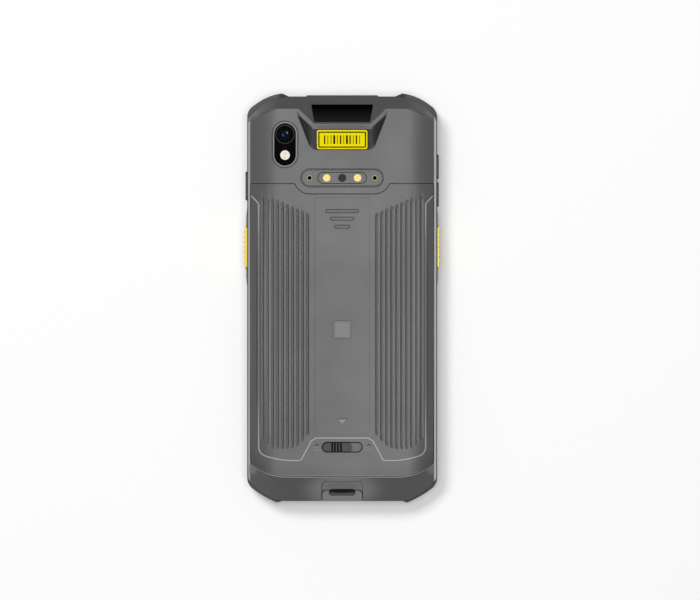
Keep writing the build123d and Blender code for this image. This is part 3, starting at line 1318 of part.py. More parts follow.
# ------------------------------------------------------------------ battery cover
with BuildPart() as battery_cover:
    add(back_form.part)
    with BuildSketch(Plane.XY.offset(PARTING_Z)):
        add(COVER_FACE)
    extrude(amount=TALL, mode=Mode.INTERSECT)
    add(lowered(COVER_WALL), mode=Mode.SUBTRACT)
    for side in SIDES:
        root = slab(
            side_span(side, *HOOK_SPAN),
            (COVER_TOP_Y - HOOK_ROOT, COVER_TOP_Y - SEAM_GAP),
            (HOOK_LOW_Z, BACK_Z),
        )
        reach = slab(
            side_span(side, *HOOK_SPAN),
            (COVER_TOP_Y - HOOK_ROOT, COVER_TOP_Y + HOOK_REACH),
            (HOOK_LOW_Z, BACK_Z),
        )
        add((root & back_form.part) - lowered(HOOK_FOOT_DROP))
        add((reach & lowered(COVER_WALL + SEAT_GAP)) - lowered(HOOK_FOOT_DROP))
    add(RIB_GROOVES, mode=Mode.SUBTRACT)
    add(sunk(PANEL_FACE, PANEL_DEPTH), mode=Mode.SUBTRACT)
    add(sunk(BAR_LINES, PANEL_DEPTH + BAR_DEPTH), mode=Mode.SUBTRACT)
    add(sunk(BADGE_FACE, PANEL_DEPTH + BADGE_DEPTH), mode=Mode.SUBTRACT)
    add(sunk(ARROW_FACE, PANEL_DEPTH + BADGE_DEPTH), mode=Mode.SUBTRACT)
    add(sunk(STRIP_FACE, STRIP_DEPTH), mode=Mode.SUBTRACT)
    add(sunk(inset_face(LATCH_FACE, LATCH_RIM), LATCH_RIM_DEPTH), mode=Mode.SUBTRACT)
    add(sunk(LATCH_FACE, LATCH_POCKET_DEPTH), mode=Mode.SUBTRACT)
    add(
        slab(
            (LINK_X[0] - SLIDE_GAP, LINK_X[1] + LATCH_TRAVEL + SLIDE_GAP),
            (LATCH_Y - LINK_WIDTH / 2 - SLIDE_GAP, LATCH_Y + LINK_WIDTH / 2 + SLIDE_GAP),
            (PARTING_Z, BACK_Z),
        ),
        mode=Mode.SUBTRACT,
    )
finish(battery_cover, "battery_cover")

with BuildPart() as accent_strip:
    add(lowered(-STRIP_PROUD))
    with BuildSketch(Plane.XY.offset(PARTING_Z)):
        add(STRIP_FACE)
    extrude(amount=TALL, mode=Mode.INTERSECT)
    add(lowered(STRIP_DEPTH), mode=Mode.SUBTRACT)
finish(accent_strip, "accent_strip")

with BuildPart() as nfc_antenna:
    with BuildSketch(Plane.XY.offset(BACK_Z - COVER_WALL - ANTENNA_THICK)):
        with Locations((0, BADGE_Y)):
            RectangleRounded(*ANTENNA_SIZE, ANTENNA_CORNER_R)
    extrude(amount=ANTENNA_THICK)
finish(nfc_antenna, "nfc_antenna")

with BuildPart() as latch_slider:
    with BuildSketch(Plane.XY.offset(SLIDER_FOOT_Z)):
        with Locations((SLIDER_X, LATCH_Y)):
            SlotOverall(SLIDER_LENGTH, LATCH_WIDTH - 2 * LATCH_GAP)
    extrude(amount=BACK_Z - LATCH_GAP - SLIDER_FOOT_Z)
    with BuildSketch(Plane.XY.offset(BACK_Z - LATCH_GAP - SLIDER_GROOVE_DEPTH)):
        with Locations(*[(x, LATCH_Y) for x in SLIDER_GROOVES]):
            Rectangle(SLIDER_GROOVE_WIDTH, LATCH_WIDTH)
    extrude(amount=BACK_Z, mode=Mode.SUBTRACT)
    add(
        slab(
            LINK_X,
            (LATCH_Y - LINK_WIDTH / 2, LATCH_Y + LINK_WIDTH / 2),
            (BOLT_TOP_Z, SLIDER_FOOT_Z),
        )
    )
finish(latch_slider, "latch_slider")

with BuildPart() as latch_bolt:
    with BuildSketch(Plane.XY.offset(BOLT_TOP_Z - BOLT_THICK)):
        add(
            rounded(
                2 * BOLT_HALF_WIDTH, BOLT_END_Y, LATCH_Y + LATCH_WIDTH / 2, SMALL_CORNER_R
            )
        )
    extrude(amount=BOLT_THICK)
finish(latch_bolt, "latch_bolt")

# ------------------------------------------------------------------ port flap
with BuildPart() as port_flap:
    add(back_form.part)
    with BuildSketch(Plane.XY.offset(FLAP_PIN_Z)):
        add(FLAP_FACE)
        with Locations((0, BOTTOM_END_Y + DEEP / 2)):
            Rectangle(LONG, DEEP, mode=Mode.INTERSECT)
    flap_plan = port_flap.pending_faces[0]
    extrude(amount=TALL, mode=Mode.INTERSECT)
    extrude(flap_plan, amount=PARTING_Z - FLAP_PIN_Z)
    with BuildSketch(Plane.YZ):
        with BuildLine():
            Polyline(
                (FLAP_INNER_Y, -DEEP),
                (FLAP_INNER_Y, bevel_z(FLAP_INNER_Y) - FLAP_THICK),
                (FLAP_TOP_Y + DEEP, bevel_z(FLAP_TOP_Y + DEEP) - FLAP_THICK),
                (FLAP_TOP_Y + DEEP, -DEEP),
                close=True,
            )
        make_face()
    extrude(amount=HALF_WIDTH, both=True, mode=Mode.SUBTRACT)
    with BuildSketch(Plane.YZ):
        with Locations((FLAP_PIN_Y, FLAP_PIN_Z)):
            Circle(FLAP_KNUCKLE_R)
    extrude(amount=NOTCH_HALF_WIDTH - FLAP_GAP, both=True)
    with BuildSketch(Plane.YZ):
        with Locations((FLAP_PIN_Y, FLAP_PIN_Z)):
            Circle(FLAP_PIN_R + PIN_CLEARANCE)
    extrude(amount=NOTCH_HALF_WIDTH, both=True, mode=Mode.SUBTRACT)
    add(sunk(NAIL_FACE, NAIL_SLOT_DEPTH), mode=Mode.SUBTRACT)
    with BuildSketch(Plane.XZ.offset(-FLAP_INNER_Y)):
        with Locations((0, PORT_Z)):
            SlotOverall(*PLUG)
    extrude(amount=FLAP_INNER_Y - PLUG_END_Y)
finish(port_flap, "port_flap")

with BuildPart() as flap_pin:
    with BuildSketch(Plane.YZ):
        with Locations((FLAP_PIN_Y, FLAP_PIN_Z)):
            Circle(FLAP_PIN_R)
    extrude(amount=NOTCH_HALF_WIDTH + PIN_EMBED, both=True)
finish(flap_pin, "flap_pin")


# ------------------------------------------------------------------ side keys and triggers
def key(span, height, face_x, ribs=0):
    """Push key for the right side: a cap that passes the wall, a flange behind it and ribs on its face."""
    middle = (span[0] + span[1]) / 2
    length = span[1] - span[0]
    with BuildPart() as body:
        with BuildSketch(Plane.YZ.offset(FLANGE_X)):
            with Locations((middle, KEY_Z)):
                RectangleRounded(length, height, KEY_CORNER_R)
        extrude(amount=face_x - FLANGE_X)
        fillet(body.faces().sort_by(Axis.X)[-1].edges(), KEY_EDGE_R)
        with BuildSketch(Plane.YZ.offset(FLANGE_X)):
            with Locations((middle, KEY_Z)):
                Rectangle(length + 2 * FLANGE_REACH[0], height + 2 * FLANGE_REACH[1])
        extrude(amount=FLANGE_THICK)
        if ribs:
            with BuildSketch(Plane.YZ.offset(face_x)):
                with Locations((middle, KEY_Z)):
                    with GridLocations(TRIGGER_RIB_PITCH, 1, ribs, 1):
                        Rectangle(TRIGGER_RIB_PITCH / 2, height - 2 * KEY_CORNER_R)
            extrude(amount=TRIGGER_RIB_HEIGHT)
    return body.part


def guard():
    """Slim frame round the right trigger, open toward the back, that slopes into the wall at both ends."""
    with BuildPart() as frame:
        with BuildSketch(Plane.XY.offset(GUARD_Z[0])):
            with BuildLine():
                Polyline(
                    (HALF_WIDTH, GUARD_SPAN[0]),
                    (HALF_WIDTH + GUARD_PROUD, GUARD_SHOULDER[0]),
                    (HALF_WIDTH + GUARD_PROUD, GUARD_SHOULDER[1]),
                    (HALF_WIDTH, GUARD_SPAN[1]),
                    close=True,
                )
            make_face()
        extrude(amount=GUARD_Z[1] - GUARD_Z[0])
        add(keyway(1, TRIGGER_SPAN, TRIGGER_HEIGHT), mode=Mode.SUBTRACT)
        add(
            slab(
                (HALF_WIDTH, HALF_WIDTH + GUARD_PROUD),
                (TRIGGER_SPAN[0] - KEY_GAP, TRIGGER_SPAN[1] + KEY_GAP),
                (KEY_Z, GUARD_Z[1]),
            ),
            mode=Mode.SUBTRACT,
        )
    return frame.part


RIGHT_TRIGGER = key(TRIGGER_SPAN, TRIGGER_HEIGHT, TRIGGER_X, TRIGGER_RIBS)
RIGHT_GUARD = guard()

with BuildPart() as scan_trigger_right:
    add(RIGHT_TRIGGER)
finish(scan_trigger_right, "scan_trigger_right")

with BuildPart() as scan_trigger_left:
    add(mirrored(RIGHT_TRIGGER))
finish(scan_trigger_left, "scan_trigger_left")

with BuildPart() as trigger_guard_right:
    add(RIGHT_GUARD)
finish(trigger_guard_right, "trigger_guard_right")

with BuildPart() as trigger_guard_left:
    add(mirrored(RIGHT_GUARD))
finish(trigger_guard_left, "trigger_guard_left")

with BuildPart() as power_button:
    add(mirrored(key(POWER_SPAN, KEY_HEIGHT, POWER_X)))
finish(power_button, "power_button")

with BuildPart() as volume_up_button:
    add(key(VOLUME_UP_SPAN, KEY_HEIGHT, VOLUME_X))
finish(volume_up_button, "volume_up_button")

with BuildPart() as volume_down_button:
    add(key(VOLUME_DOWN_SPAN, KEY_HEIGHT, VOLUME_X))
finish(volume_down_button, "volume_down_button")
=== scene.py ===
"""Looks of a rugged handheld barcode data terminal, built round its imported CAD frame."""

import logging
import math
from contextlib import contextmanager
from dataclasses import dataclass, replace
from enum import Enum
from typing import Callable, ClassVar, Iterator

import bmesh
import bpy
from mathutils import Matrix, Vector


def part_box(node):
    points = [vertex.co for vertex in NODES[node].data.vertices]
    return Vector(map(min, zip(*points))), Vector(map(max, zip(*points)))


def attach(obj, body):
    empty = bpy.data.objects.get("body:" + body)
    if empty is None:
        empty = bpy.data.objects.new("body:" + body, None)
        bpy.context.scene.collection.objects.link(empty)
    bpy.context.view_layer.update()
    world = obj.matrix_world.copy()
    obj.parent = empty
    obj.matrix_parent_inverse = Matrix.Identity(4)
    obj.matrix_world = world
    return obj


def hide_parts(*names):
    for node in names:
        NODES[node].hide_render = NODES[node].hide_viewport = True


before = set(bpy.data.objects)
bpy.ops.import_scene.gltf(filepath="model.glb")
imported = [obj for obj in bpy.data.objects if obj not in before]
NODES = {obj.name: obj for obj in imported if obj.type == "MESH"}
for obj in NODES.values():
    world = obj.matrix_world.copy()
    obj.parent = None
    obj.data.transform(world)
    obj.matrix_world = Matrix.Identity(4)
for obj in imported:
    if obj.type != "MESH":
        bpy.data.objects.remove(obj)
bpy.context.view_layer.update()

MM = 0.001
NO_LIMIT = 1.0e6  # in mm, far past the terminal
LOG = logging.getLogger("terminal")

Pair = tuple[float, float]
Place = tuple[float, float, float]
Colour = tuple[float, float, float, float]
Shape = bpy.types.Object
Tree = bpy.types.NodeTree
Socket = bpy.types.NodeSocket
Inputs = bpy.types.NodeInputs
Outputs = bpy.types.NodeOutputs

BLACK: Colour = (0.0, 0.0, 0.0, 1.0)
WHITE: Colour = (1.0, 1.0, 1.0, 1.0)


def linear(value: float) -> float:
    """Linear light of one display value from 0 to 255."""
    share = value / 255.0
    return share / 12.92 if share <= 0.04045 else ((share + 0.055) / 1.055) ** 2.4


def tone(red: float, green: float | None = None, blue: float | None = None) -> Colour:
    """Linear colour of display values from 0 to 255.

    Args:
        red: Display value of red, or of all three where it stands alone.
        green: Display value of green.
        blue: Display value of blue.

    Returns:
        The colour, with full cover.
    """
    if green is None or blue is None:
        green = blue = red
    return (linear(red), linear(green), linear(blue), 1.0)


# ---- shader nodes
class Axis(Enum):
    """Axes of the object coordinates."""

    X = "X"
    Y = "Y"
    Z = "Z"


class Net:
    """A shader node tree with short ways to add its nodes."""

    def __init__(self, tree: Tree) -> None:
        """Keep the tree."""
        self.tree = tree

    def fill(self, sockets: Inputs, values: dict[str | int, object]) -> None:
        """Link inputs to sockets, or give them plain values.

        Args:
            sockets: The inputs of one node.
            values: Sockets or plain values, by the input's name or number.
        """
        for label, value in values.items():
            if isinstance(value, Socket):
                self.tree.links.new(value, sockets[label])
            else:
                sockets[label].default_value = value

    def add(self, kind: str, values: dict[str | int, object], **settings: object) -> Outputs:
        """Add a node.

        Args:
            kind: The node's type, without the words that all types start with.
            values: Its inputs, as fill takes them.
            settings: The node's own settings.

        Returns:
            The outputs of the new node.
        """
        node = self.tree.nodes.new(f"ShaderNode{kind}")
        for label, value in settings.items():
            setattr(node, label, value)
        self.fill(node.inputs, values)
        return node.outputs

    def math(self, operation: str, *values: float | Socket, clamp: bool = False) -> Socket:
        """Result of a math node.

        Args:
            operation: Name of the operation.
            values: Its inputs in order.
            clamp: Whether the result is kept between 0 and 1.

        Returns:
            The node's output.
        """
        return self.add("Math", dict(enumerate(values)), operation=operation, use_clamp=clamp)[0]

    def dot(self, first: Socket, second: Socket | Vector) -> Socket:
        """Dot product of two vectors."""
        return self.add("VectorMath", {0: first, 1: second}, operation="DOT_PRODUCT")["Value"]

    def remap(
        self,
        value: Socket,
        ends: Pair,
        results: tuple[float | Socket, float | Socket] = (0.0, 1.0),
        curve: str = "LINEAR",
    ) -> Socket:
        """Carry a value from one range to another, and hold it at both ends.

        Args:
            value: The value.
            ends: Two values of the first range.
            results: What these two become.
            curve: How it runs between them.

        Returns:
            The socket of the new value.
        """
        values = {
            "Value": value, "From Min": ends[0], "From Max": ends[1],
            "To Min": results[0], "To Max": results[1],
        }
        return self.add("MapRange", values, interpolation_type=curve)["Result"]

    def split(self, vector: Socket) -> Outputs:
        """X, Y and Z of a vector."""
        return self.add("SeparateXYZ", {0: vector})

    def mix(
        self, mode: str, below: Socket | Colour, above: Socket | Colour, mask: Socket | float
    ) -> Socket:
        """Lay a colour over another by a mask.

        Args:
            mode: Blend type of the mix.
            below: The colour so far.
            above: The colour that is laid on.
            mask: Where it is laid on.

        Returns:
            The socket of the mixed colour.
        """
        values = {"Fac": mask, "Color1": below, "Color2": above}
        return self.add("MixRGB", values, blend_type=mode)["Color"]


# ---- shader groups
class Group(Enum):
    """Shared shader effects."""

    GRAIN = "mould_grain"
    EDGE = "edge_tone_mask"
    CREVICE = "crevice_shade"


class ShaderLibrary:
    """Node groups that the finishes share, each built once."""

    PIT_SHARE = 0.6
    FINE_SHARE = 0.35
    CLOUD_ENDS = (0.35, 1.0)
    EDGE_ENDS = (0.99, 0.88)
    BREAK_ENDS = (0.3, 0.6)
    BREAK_LEAST = 0.45

    def __init__(self) -> None:
        """Build every group."""
        self.groups: dict[Group, Tree] = {
            Group.GRAIN: self._grain(),
            Group.EDGE: self._edge(),
            Group.CREVICE: self._crevice(),
        }

    @staticmethod
    def _new(
        group: Group, inputs: dict[str, float | None], outputs: dict[str, str]
    ) -> tuple[Net, Outputs, Inputs]:
        """Start a group.

        Args:
            group: Which effect.
            inputs: Input names with default values; None makes a vector input.
            outputs: Output names with their socket types.

        Returns:
            The group's nodes, what comes into it and what goes out of it.
        """
        tree = bpy.data.node_groups.new(group.value, "ShaderNodeTree")
        for label, value in inputs.items():
            kind = "NodeSocketVector" if value is None else "NodeSocketFloat"
            socket = tree.interface.new_socket(label, in_out="INPUT", socket_type=kind)
            if value is not None:
                socket.default_value = value
        for label, kind in outputs.items():
            tree.interface.new_socket(label, in_out="OUTPUT", socket_type=kind)
        given, result = tree.nodes.new("NodeGroupInput"), tree.nodes.new("NodeGroupOutput")
        return Net(tree), given.outputs, result.inputs

    def _grain(self) -> Tree:
        """Fine spark-eroded mould texture over a slow change of tone.

        Returns:
            A group that gives a height for a bump and a tone factor near 1.
        """
        net, given, result = self._new(
            Group.GRAIN,
            {"Vector": None, "Scale": 2200.0, "Cloud": 35.0, "Spread": 0.06},
            {"Height": "NodeSocketFloat", "Tone": "NodeSocketFloat"},
        )
        place = {"Vector": given["Vector"], "Scale": given["Scale"]}
        fine = net.add("TexNoise", {**place, "Detail": 3.0, "Roughness": 0.6})["Fac"]
        pits = net.add("TexVoronoi", place)["Distance"]
        cloud = net.add("TexNoise", {**place, "Scale": given["Cloud"], "Detail": 4.0})["Fac"]
        mottle = net.math("MULTIPLY_ADD", fine, self.FINE_SHARE, cloud)
        low = net.math("SUBTRACT", 1.0, given["Spread"])
        high = net.math("ADD", 1.0, given["Spread"])
        net.fill(result, {
            "Height": net.math("MULTIPLY_ADD", pits, self.PIT_SHARE, fine),
            "Tone": net.remap(mottle, self.CLOUD_ENDS, (low, high)),
        })
        return net.tree

    def _edge(self) -> Tree:
        """Rounded shading normal at hard edges, and a broken mask along them.

        Returns:
            A group that gives a normal and a mask from 0 to 1.
        """
        net, given, result = self._new(
            Group.EDGE,
            {"Vector": None, "Radius": 0.0003, "Break": 900.0},
            {"Normal": "NodeSocketVector", "Mask": "NodeSocketFloat"},
        )
        bevel = net.add("Bevel", {"Radius": given["Radius"]}, samples=4)["Normal"]
        turn = net.dot(bevel, net.add("NewGeometry", {})["Normal"])
        noise = net.add("TexNoise", {"Vector": given["Vector"], "Scale": given["Break"]})["Fac"]
        broken = net.remap(noise, self.BREAK_ENDS, (self.BREAK_LEAST, 1.0))
        mask = net.math("MULTIPLY", net.remap(turn, self.EDGE_ENDS), broken, clamp=True)
        net.fill(result, {"Normal": bevel, "Mask": mask})
        return net.tree

    def _crevice(self) -> Tree:
        """How far a point lies down in a groove or a seam.

        Returns:
            A group that gives a factor from 1 on open faces to 0 deep in a gap.
        """
        net, given, result = self._new(
            Group.CREVICE, {"Reach": 0.0012}, {"Open": "NodeSocketFloat"}
        )
        shade = net.add("AmbientOcclusion", {"Distance": given["Reach"]}, samples=6)
        net.fill(result, {"Open": shade["AO"]})
        return net.tree

    def place(self, net: Net, group: Group, values: dict[str | int, object]) -> Outputs:
        """Put a group into a material, and return its outputs."""
        return net.add("Group", values, node_tree=self.groups[group])


# ---- toned places: painted light and painted shade, and a few tints
@dataclass(frozen=True)
class Patch:
    """A soft oval with a tone laid on, at every height or in a thin layer, in mm; most patches here are
    painted light and painted shade.

    Its share is how much of the tone shows, soft is the part of the oval that fades out, a dull one is
    matt, and one that glows gives off its tone as a painted reflection.
    """

    centre: Pair
    reach: Pair
    colour: Colour
    share: float = 1.0
    soft: float = 0.5
    turn: float = 0.0
    glow: float = 0.0
    height: float = 0.0
    layer: float = NO_LIMIT
    tilt: float = 0.0
    dull: bool = False

    def mask(self, net: Net, place: Outputs) -> Socket:
        """Mask of the oval.

        Args:
            net: The material's nodes.
            place: Its texture coordinates.

        Returns:
            A socket with its share inside and 0 outside.
        """
        oval = {
            "Vector": place["Object"],
            "Location": Vector((*self.centre, self.height)) * MM,
            "Rotation": (self.tilt, 0.0, self.turn),
            "Scale": Vector((*self.reach, self.layer)) * MM,
        }
        inner = net.add("Mapping", oval, vector_type="TEXTURE")["Vector"]
        length = net.add("VectorMath", {0: inner}, operation="LENGTH")["Value"]
        return net.remap(length, (1.0, 1.0 - self.soft), (0.0, self.share), "SMOOTHSTEP")

    def carried(self, centre: Pair, size: float) -> "Patch":
        """Scale the patch and move it.

        Args:
            centre: Where its origin comes to lie.
            size: What its lengths are multiplied by.

        Returns:
            The new patch.
        """
        place = (centre[0] + self.centre[0] * size, centre[1] + self.centre[1] * size)
        return replace(self, centre=place, reach=(self.reach[0] * size, self.reach[1] * size))


@dataclass(frozen=True)
class Facet:
    """Faces that look one way, made lighter or darker as painted light and painted shade by the way
    they face; angles in degrees, lengths in mm.

    It holds within play of that way, fades out over fade, and starts above one place along y and
    outside another along x.
    """

    facing: Place
    colour: Colour
    play: float = 3.0
    fade: float = 3.0
    above: float = -100.0
    outside: float = 0.0

    def mask(self, net: Net, place: Outputs) -> Socket:
        """Mask of the faces, with x counted outwards on both sides.

        Args:
            net: The material's nodes.
            place: Its texture coordinates.

        Returns:
            A socket with 1 on the faces and 0 on all others.
        """
        normal, spot = net.split(place["Normal"]), net.split(place["Object"])
        outward = net.math("MULTIPLY", normal["X"], net.math("SIGN", spot["X"]))
        folded = net.add("CombineXYZ", {0: outward, 1: normal["Y"], 2: normal["Z"]})[0]
        match = net.dot(folded, Vector(self.facing).normalized())
        wide, narrow = (math.cos(math.radians(self.play + extra)) for extra in (self.fade, 0.0))
        beyond = net.math("GREATER_THAN", spot["Y"], self.above * MM)
        past = net.math("GREATER_THAN", net.math("ABSOLUTE", spot["X"]), self.outside * MM)
        inside = net.remap(match, (wide, narrow))
        return net.math("MULTIPLY", inside, net.math("MULTIPLY", beyond, past))


@dataclass(frozen=True)
class Rim:
    """A tone of painted light and shade along an outline that is straight in the middle and rounded at
    both sides, in mm.

    The arc's centre is the corner, the tone lies at one depth inside the outline and fades over
    the soft part of its reach, and it keeps outside one place along x and within another. Its
    side is 1 or -1, for an arc that bulges up or down the axis.
    """

    FADE_START: ClassVar[float] = 0.6

    axis: Axis
    corner: Pair
    radius: float
    depth: float
    reach: float
    colour: Colour
    soft: float = 0.5
    side: float = 1.0
    outside: float = 0.0
    within: float = NO_LIMIT

    def mask(self, net: Net, place: Outputs) -> Socket:
        """Mask of the points near one depth inside the outline.

        Args:
            net: The material's nodes.
            place: Its texture coordinates.

        Returns:
            A socket with 1 at that depth and 0 farther away than the reach.
        """
        spot = net.split(place["Object"])
        across = net.math("ABSOLUTE", spot["X"])
        run = net.math("MAXIMUM", net.math("SUBTRACT", across, self.corner[0] * MM), 0.0)
        height = net.math("SUBTRACT", spot[self.axis.value], self.corner[1] * MM)
        rise = net.math("MAXIMUM", net.math("MULTIPLY", height, self.side), 0.0)
        square = net.math("MULTIPLY_ADD", run, run, net.math("MULTIPLY", rise, rise))
        depth = net.math("SUBTRACT", net.math("SQRT", square), (self.radius - self.depth) * MM)
        reach, within = self.reach * MM, self.within * MM
        near = net.remap(net.math("ABSOLUTE", depth), (reach, reach * (1.0 - self.soft)))
        past = net.math("GREATER_THAN", across, self.outside * MM)
        middle = net.remap(across, (within, within * self.FADE_START))
        return net.math("MULTIPLY", near, net.math("MULTIPLY", past, middle))


@dataclass(frozen=True)
class Band:
    """All of a surface past one place on an axis, with a tone laid on it, in mm; each band here sets
    painted light and shade apart from the surface's own colour.
    """

    axis: Axis
    start: float
    colour: Colour
    mirrored: bool = True
    fade: float = 0.1

    def mask(self, net: Net, place: Outputs) -> Socket:
        """Mask of the band.

        Args:
            net: The material's nodes.
            place: Its texture coordinates.

        Returns:
            A socket with 1 past the start and 0 before it.
        """
        value = net.split(place["Object"])[self.axis.value]
        if self.mirrored:
            value = net.math("ABSOLUTE", value)
        start, half = self.start * MM, self.fade * MM / 2.0
        return net.remap(value, (start - half, start + half))


def both_sides(
    centre: Pair, reach: Pair, colour: Colour, share: float, soft: float, **more: float | bool
) -> tuple[Patch, ...]:
    """The same patch on the right and on the left.

    Args:
        centre: Centre of the right one.
        reach: Half sizes of both.
        colour: Their colour.
        share: How much of it shows.
        soft: How much of the oval fades out.
        more: Other values of the patch; a turn is mirrored with it.

    Returns:
        Both patches.
    """
    turn = more.pop("turn", 0.0)
    return tuple(
        Patch((side * centre[0], centre[1]), reach, colour, share, soft, side * turn, **more)
        for side in (1.0, -1.0)
    )


# ---- finishes
Painted = list[tuple[Patch, Socket]]


@dataclass(frozen=True)
class Finish:
    """One surface finish, with its texture, relief and a tone along its hard edges; lengths are in mm.
    """

    COAT_ROUGHNESS: ClassVar[float] = 0.12
    ROUGHNESS_SWING: ClassVar[float] = 0.12
    BUMP_STRENGTH: ClassVar[float] = 0.8
    CREVICE_ENDS: ClassVar[Pair] = (0.25, 0.85)
    CREVICE_TONE: ClassVar[Colour] = (0.05, 0.05, 0.05, 1.0)

    name: str
    colour: Colour
    roughness: float = 0.5
    metallic: float = 0.0
    specular: float = 0.5
    coat: float = 0.0
    relief: float = 0.012
    spread: float = 0.05
    edge_share: float = 0.25
    edge_colour: Colour = (0.35, 0.35, 0.35, 1.0)
    radius: float = 0.25
    groove: float = 0.55
    rings: float = 0.0
    ring_centre: Pair = (0.0, 0.0)
    layers: tuple[Patch | Facet | Rim | Band, ...] = ()
    patches: tuple[Patch, ...] = ()

    def build(self, library: ShaderLibrary) -> bpy.types.Material:
        """Make the material: layers lie under the edge tone, and patches over it; most layers and
        patches paint light and shade.

        Args:
            library: The shared shader groups.

        Returns:
            The finished material.
        """
        material = bpy.data.materials.new(self.name)
        material.use_nodes = True
        net = Net(material.node_tree)
        shader = material.node_tree.nodes["Principled BSDF"].inputs
        place = net.add("TexCoord", {})
        spot = place["Object"]
        grain = library.place(net, Group.GRAIN, {"Vector": spot, "Spread": self.spread})
        edge = library.place(net, Group.EDGE, {"Vector": spot, "Radius": self.radius * MM})
        colour = net.mix("MULTIPLY", self.colour, grain["Tone"], 1.0)
        for layer in self.layers:
            colour = net.mix("MIX", colour, layer.colour, layer.mask(net, place))
        # Tone along hard edges: lighter on most finishes, and on the latch slider a dark painted shade
        # line.
        colour = net.mix("MIX", colour, self.edge_colour, net.math("MULTIPLY", edge["Mask"], self.edge_share))
        painted = [(patch, patch.mask(net, place)) for patch in self.patches]
        for patch, mask in painted:
            colour = net.mix("MIX", colour, patch.colour, mask)
        relief = {
            "Height": self._height(net, spot, grain["Height"]),
            "Normal": edge["Normal"],
            "Distance": self.relief * MM,
            "Strength": self.BUMP_STRENGTH,
        }
        net.fill(shader, {
            "Base Color": self._shaded(net, library, colour),
            "Roughness": self._roughness(net, grain["Tone"], painted),
            "Normal": net.add("Bump", relief)["Normal"],
            "Metallic": self.metallic,
            "Specular IOR Level": self.specular,
            "Coat Weight": self.coat,
            "Coat Roughness": self.COAT_ROUGHNESS,
        })
        self._glow(net, shader, painted)
        return material

    def _glow(self, net: Net, shader: Inputs, painted: Painted) -> None:
        """Give off the light of the patches that glow, which are painted reflections.

        Args:
            net: The material's nodes.
            shader: The inputs of its shader.
            painted: The patches with their masks.
        """
        light: Socket | Colour = BLACK
        for patch, mask in painted:
            if patch.glow > 0.0:
                light = net.mix("MIX", light, patch.colour, mask)
                net.fill(shader, {"Emission Color": light, "Emission Strength": patch.glow})

    def _shaded(self, net: Net, library: ShaderLibrary, colour: Socket) -> Socket:
        """Darken a colour down in grooves and seams.

        Args:
            net: The material's nodes.
            library: The shared shader groups.
            colour: The colour on open faces.

        Returns:
            The socket of the shaded colour.
        """
        if self.groove <= 0.0:
            return colour
        crevice = library.place(net, Group.CREVICE, {})["Open"]
        shade = net.remap(crevice, self.CREVICE_ENDS, (self.groove, 0.0))
        return net.mix("MULTIPLY", colour, self.CREVICE_TONE, shade)

    def _roughness(self, net: Net, change: Socket, painted: Painted) -> Socket:
        """Let the roughness follow the slow change of tone, and keep the dull patches matt.

        Args:
            net: The material's nodes.
            change: The tone factor near 1.
            painted: The patches with their masks.

        Returns:
            The socket of the roughness.
        """
        dark = min(1.0, self.roughness * (1.0 + self.ROUGHNESS_SWING))
        bright = self.roughness * (1.0 - self.ROUGHNESS_SWING)
        rough = net.remap(change, (1.0 - self.spread, 1.0 + self.spread), (dark, bright))
        for patch, mask in painted:
            if patch.dull:
                rough = net.math("MAXIMUM", rough, mask)
        return rough

    def _height(self, net: Net, spot: Socket, grain: Socket) -> Socket:
        """Height for the bump: the grain, or turned rings about the finish's centre.

        Args:
            net: The material's nodes.
            spot: The object coordinates.
            grain: Height of the grain.

        Returns:
            The socket of the height.
        """
        if self.rings <= 0.0:
            return grain
        shift = {"Vector": spot, "Location": Vector((*self.ring_centre, 0.0)) * -MM}
        rings = {"Vector": net.add("Mapping", shift)["Vector"], "Scale": self.rings}
        return net.add("TexWave", rings, wave_type="RINGS", rings_direction="Z")["Fac"]


class Finishes:
    """Every finish of the terminal, made once."""

    def __init__(self, library: ShaderLibrary) -> None:
        """Keep the library and start with no material."""
        self.library = library
        self.made: dict[str, bpy.types.Material] = {}

    def get(self, finish: Finish) -> bpy.types.Material:
        """Material of a finish, built once.

        Args:
            finish: The finish.

        Returns:
            Its material.
        """
        if finish.name not in self.made:
            self.made[finish.name] = finish.build(self.library)
        return self.made[finish.name]


INSERT_PLACE = (12.85, 47.4)
LATCH_PLACE = (0.0, -58.7)
SEAM_CORNER = (21.5, -46.8)
SEAM_RADIUS = 23.4
SLOT_TILT = math.radians(29.5)

# Painted light on the hump's two shoulder facets.
HUMP_SHOULDER_LIGHT = Facet((0.36, 0.15, 0.92), tone(117))
# Painted shade on the hump's steep side facets, darker on their outer part.
HUMP_SIDE_SHADE = Facet((0.627, -0.244, 0.74), tone(52), 6.0, above=50.0)
HUMP_FLANK_SHADE = replace(HUMP_SIDE_SHADE, colour=tone(35), outside=13.1)
# Painted shade on the hump's sloping label face.
HUMP_LABEL_FACE_SHADE = Facet((0.0, -0.364, 0.932), tone(59))
# Painted shade in a band just below the hump's crest.
HUMP_CREST_SHADE = Patch((0.0, 67.4), (14.0, 1.05), tone(58), 0.8, 0.35)
# Painted shade on the bevel of the top end.
TOP_BEVEL_SHADE = Facet((0.0, 0.493, 0.87), tone(72), 6.0, 18.0)
# Painted shade along the crease where the top bevel meets the back, near the corners.
BEVEL_CREASE_SHADE = Rim(Axis.Y, (22.0, 48.6), 26.0, 0.0, 0.4, tone(64), 0.8, outside=26.0)
# Painted light on the middle of the bottom bevel, round the port.
BOTTOM_MIDDLE_LIGHT = Patch((0.0, -75.5), (19.0, 9.5), tone(126), 1.0, 0.7)
# Painted shade line round the notch that holds the port flap.
NOTCH_SHADE_LINE = Rim(Axis.Y, (6.3, -74.0), 1.8, 0.0, 0.42, tone(22), 0.7)
# Painted light on the notch floor, less than on the bevel round it.
NOTCH_FLOOR_LIGHT = Patch((0.0, -74.1), (8.2, 2.0), tone(110), 0.9, 0.4)
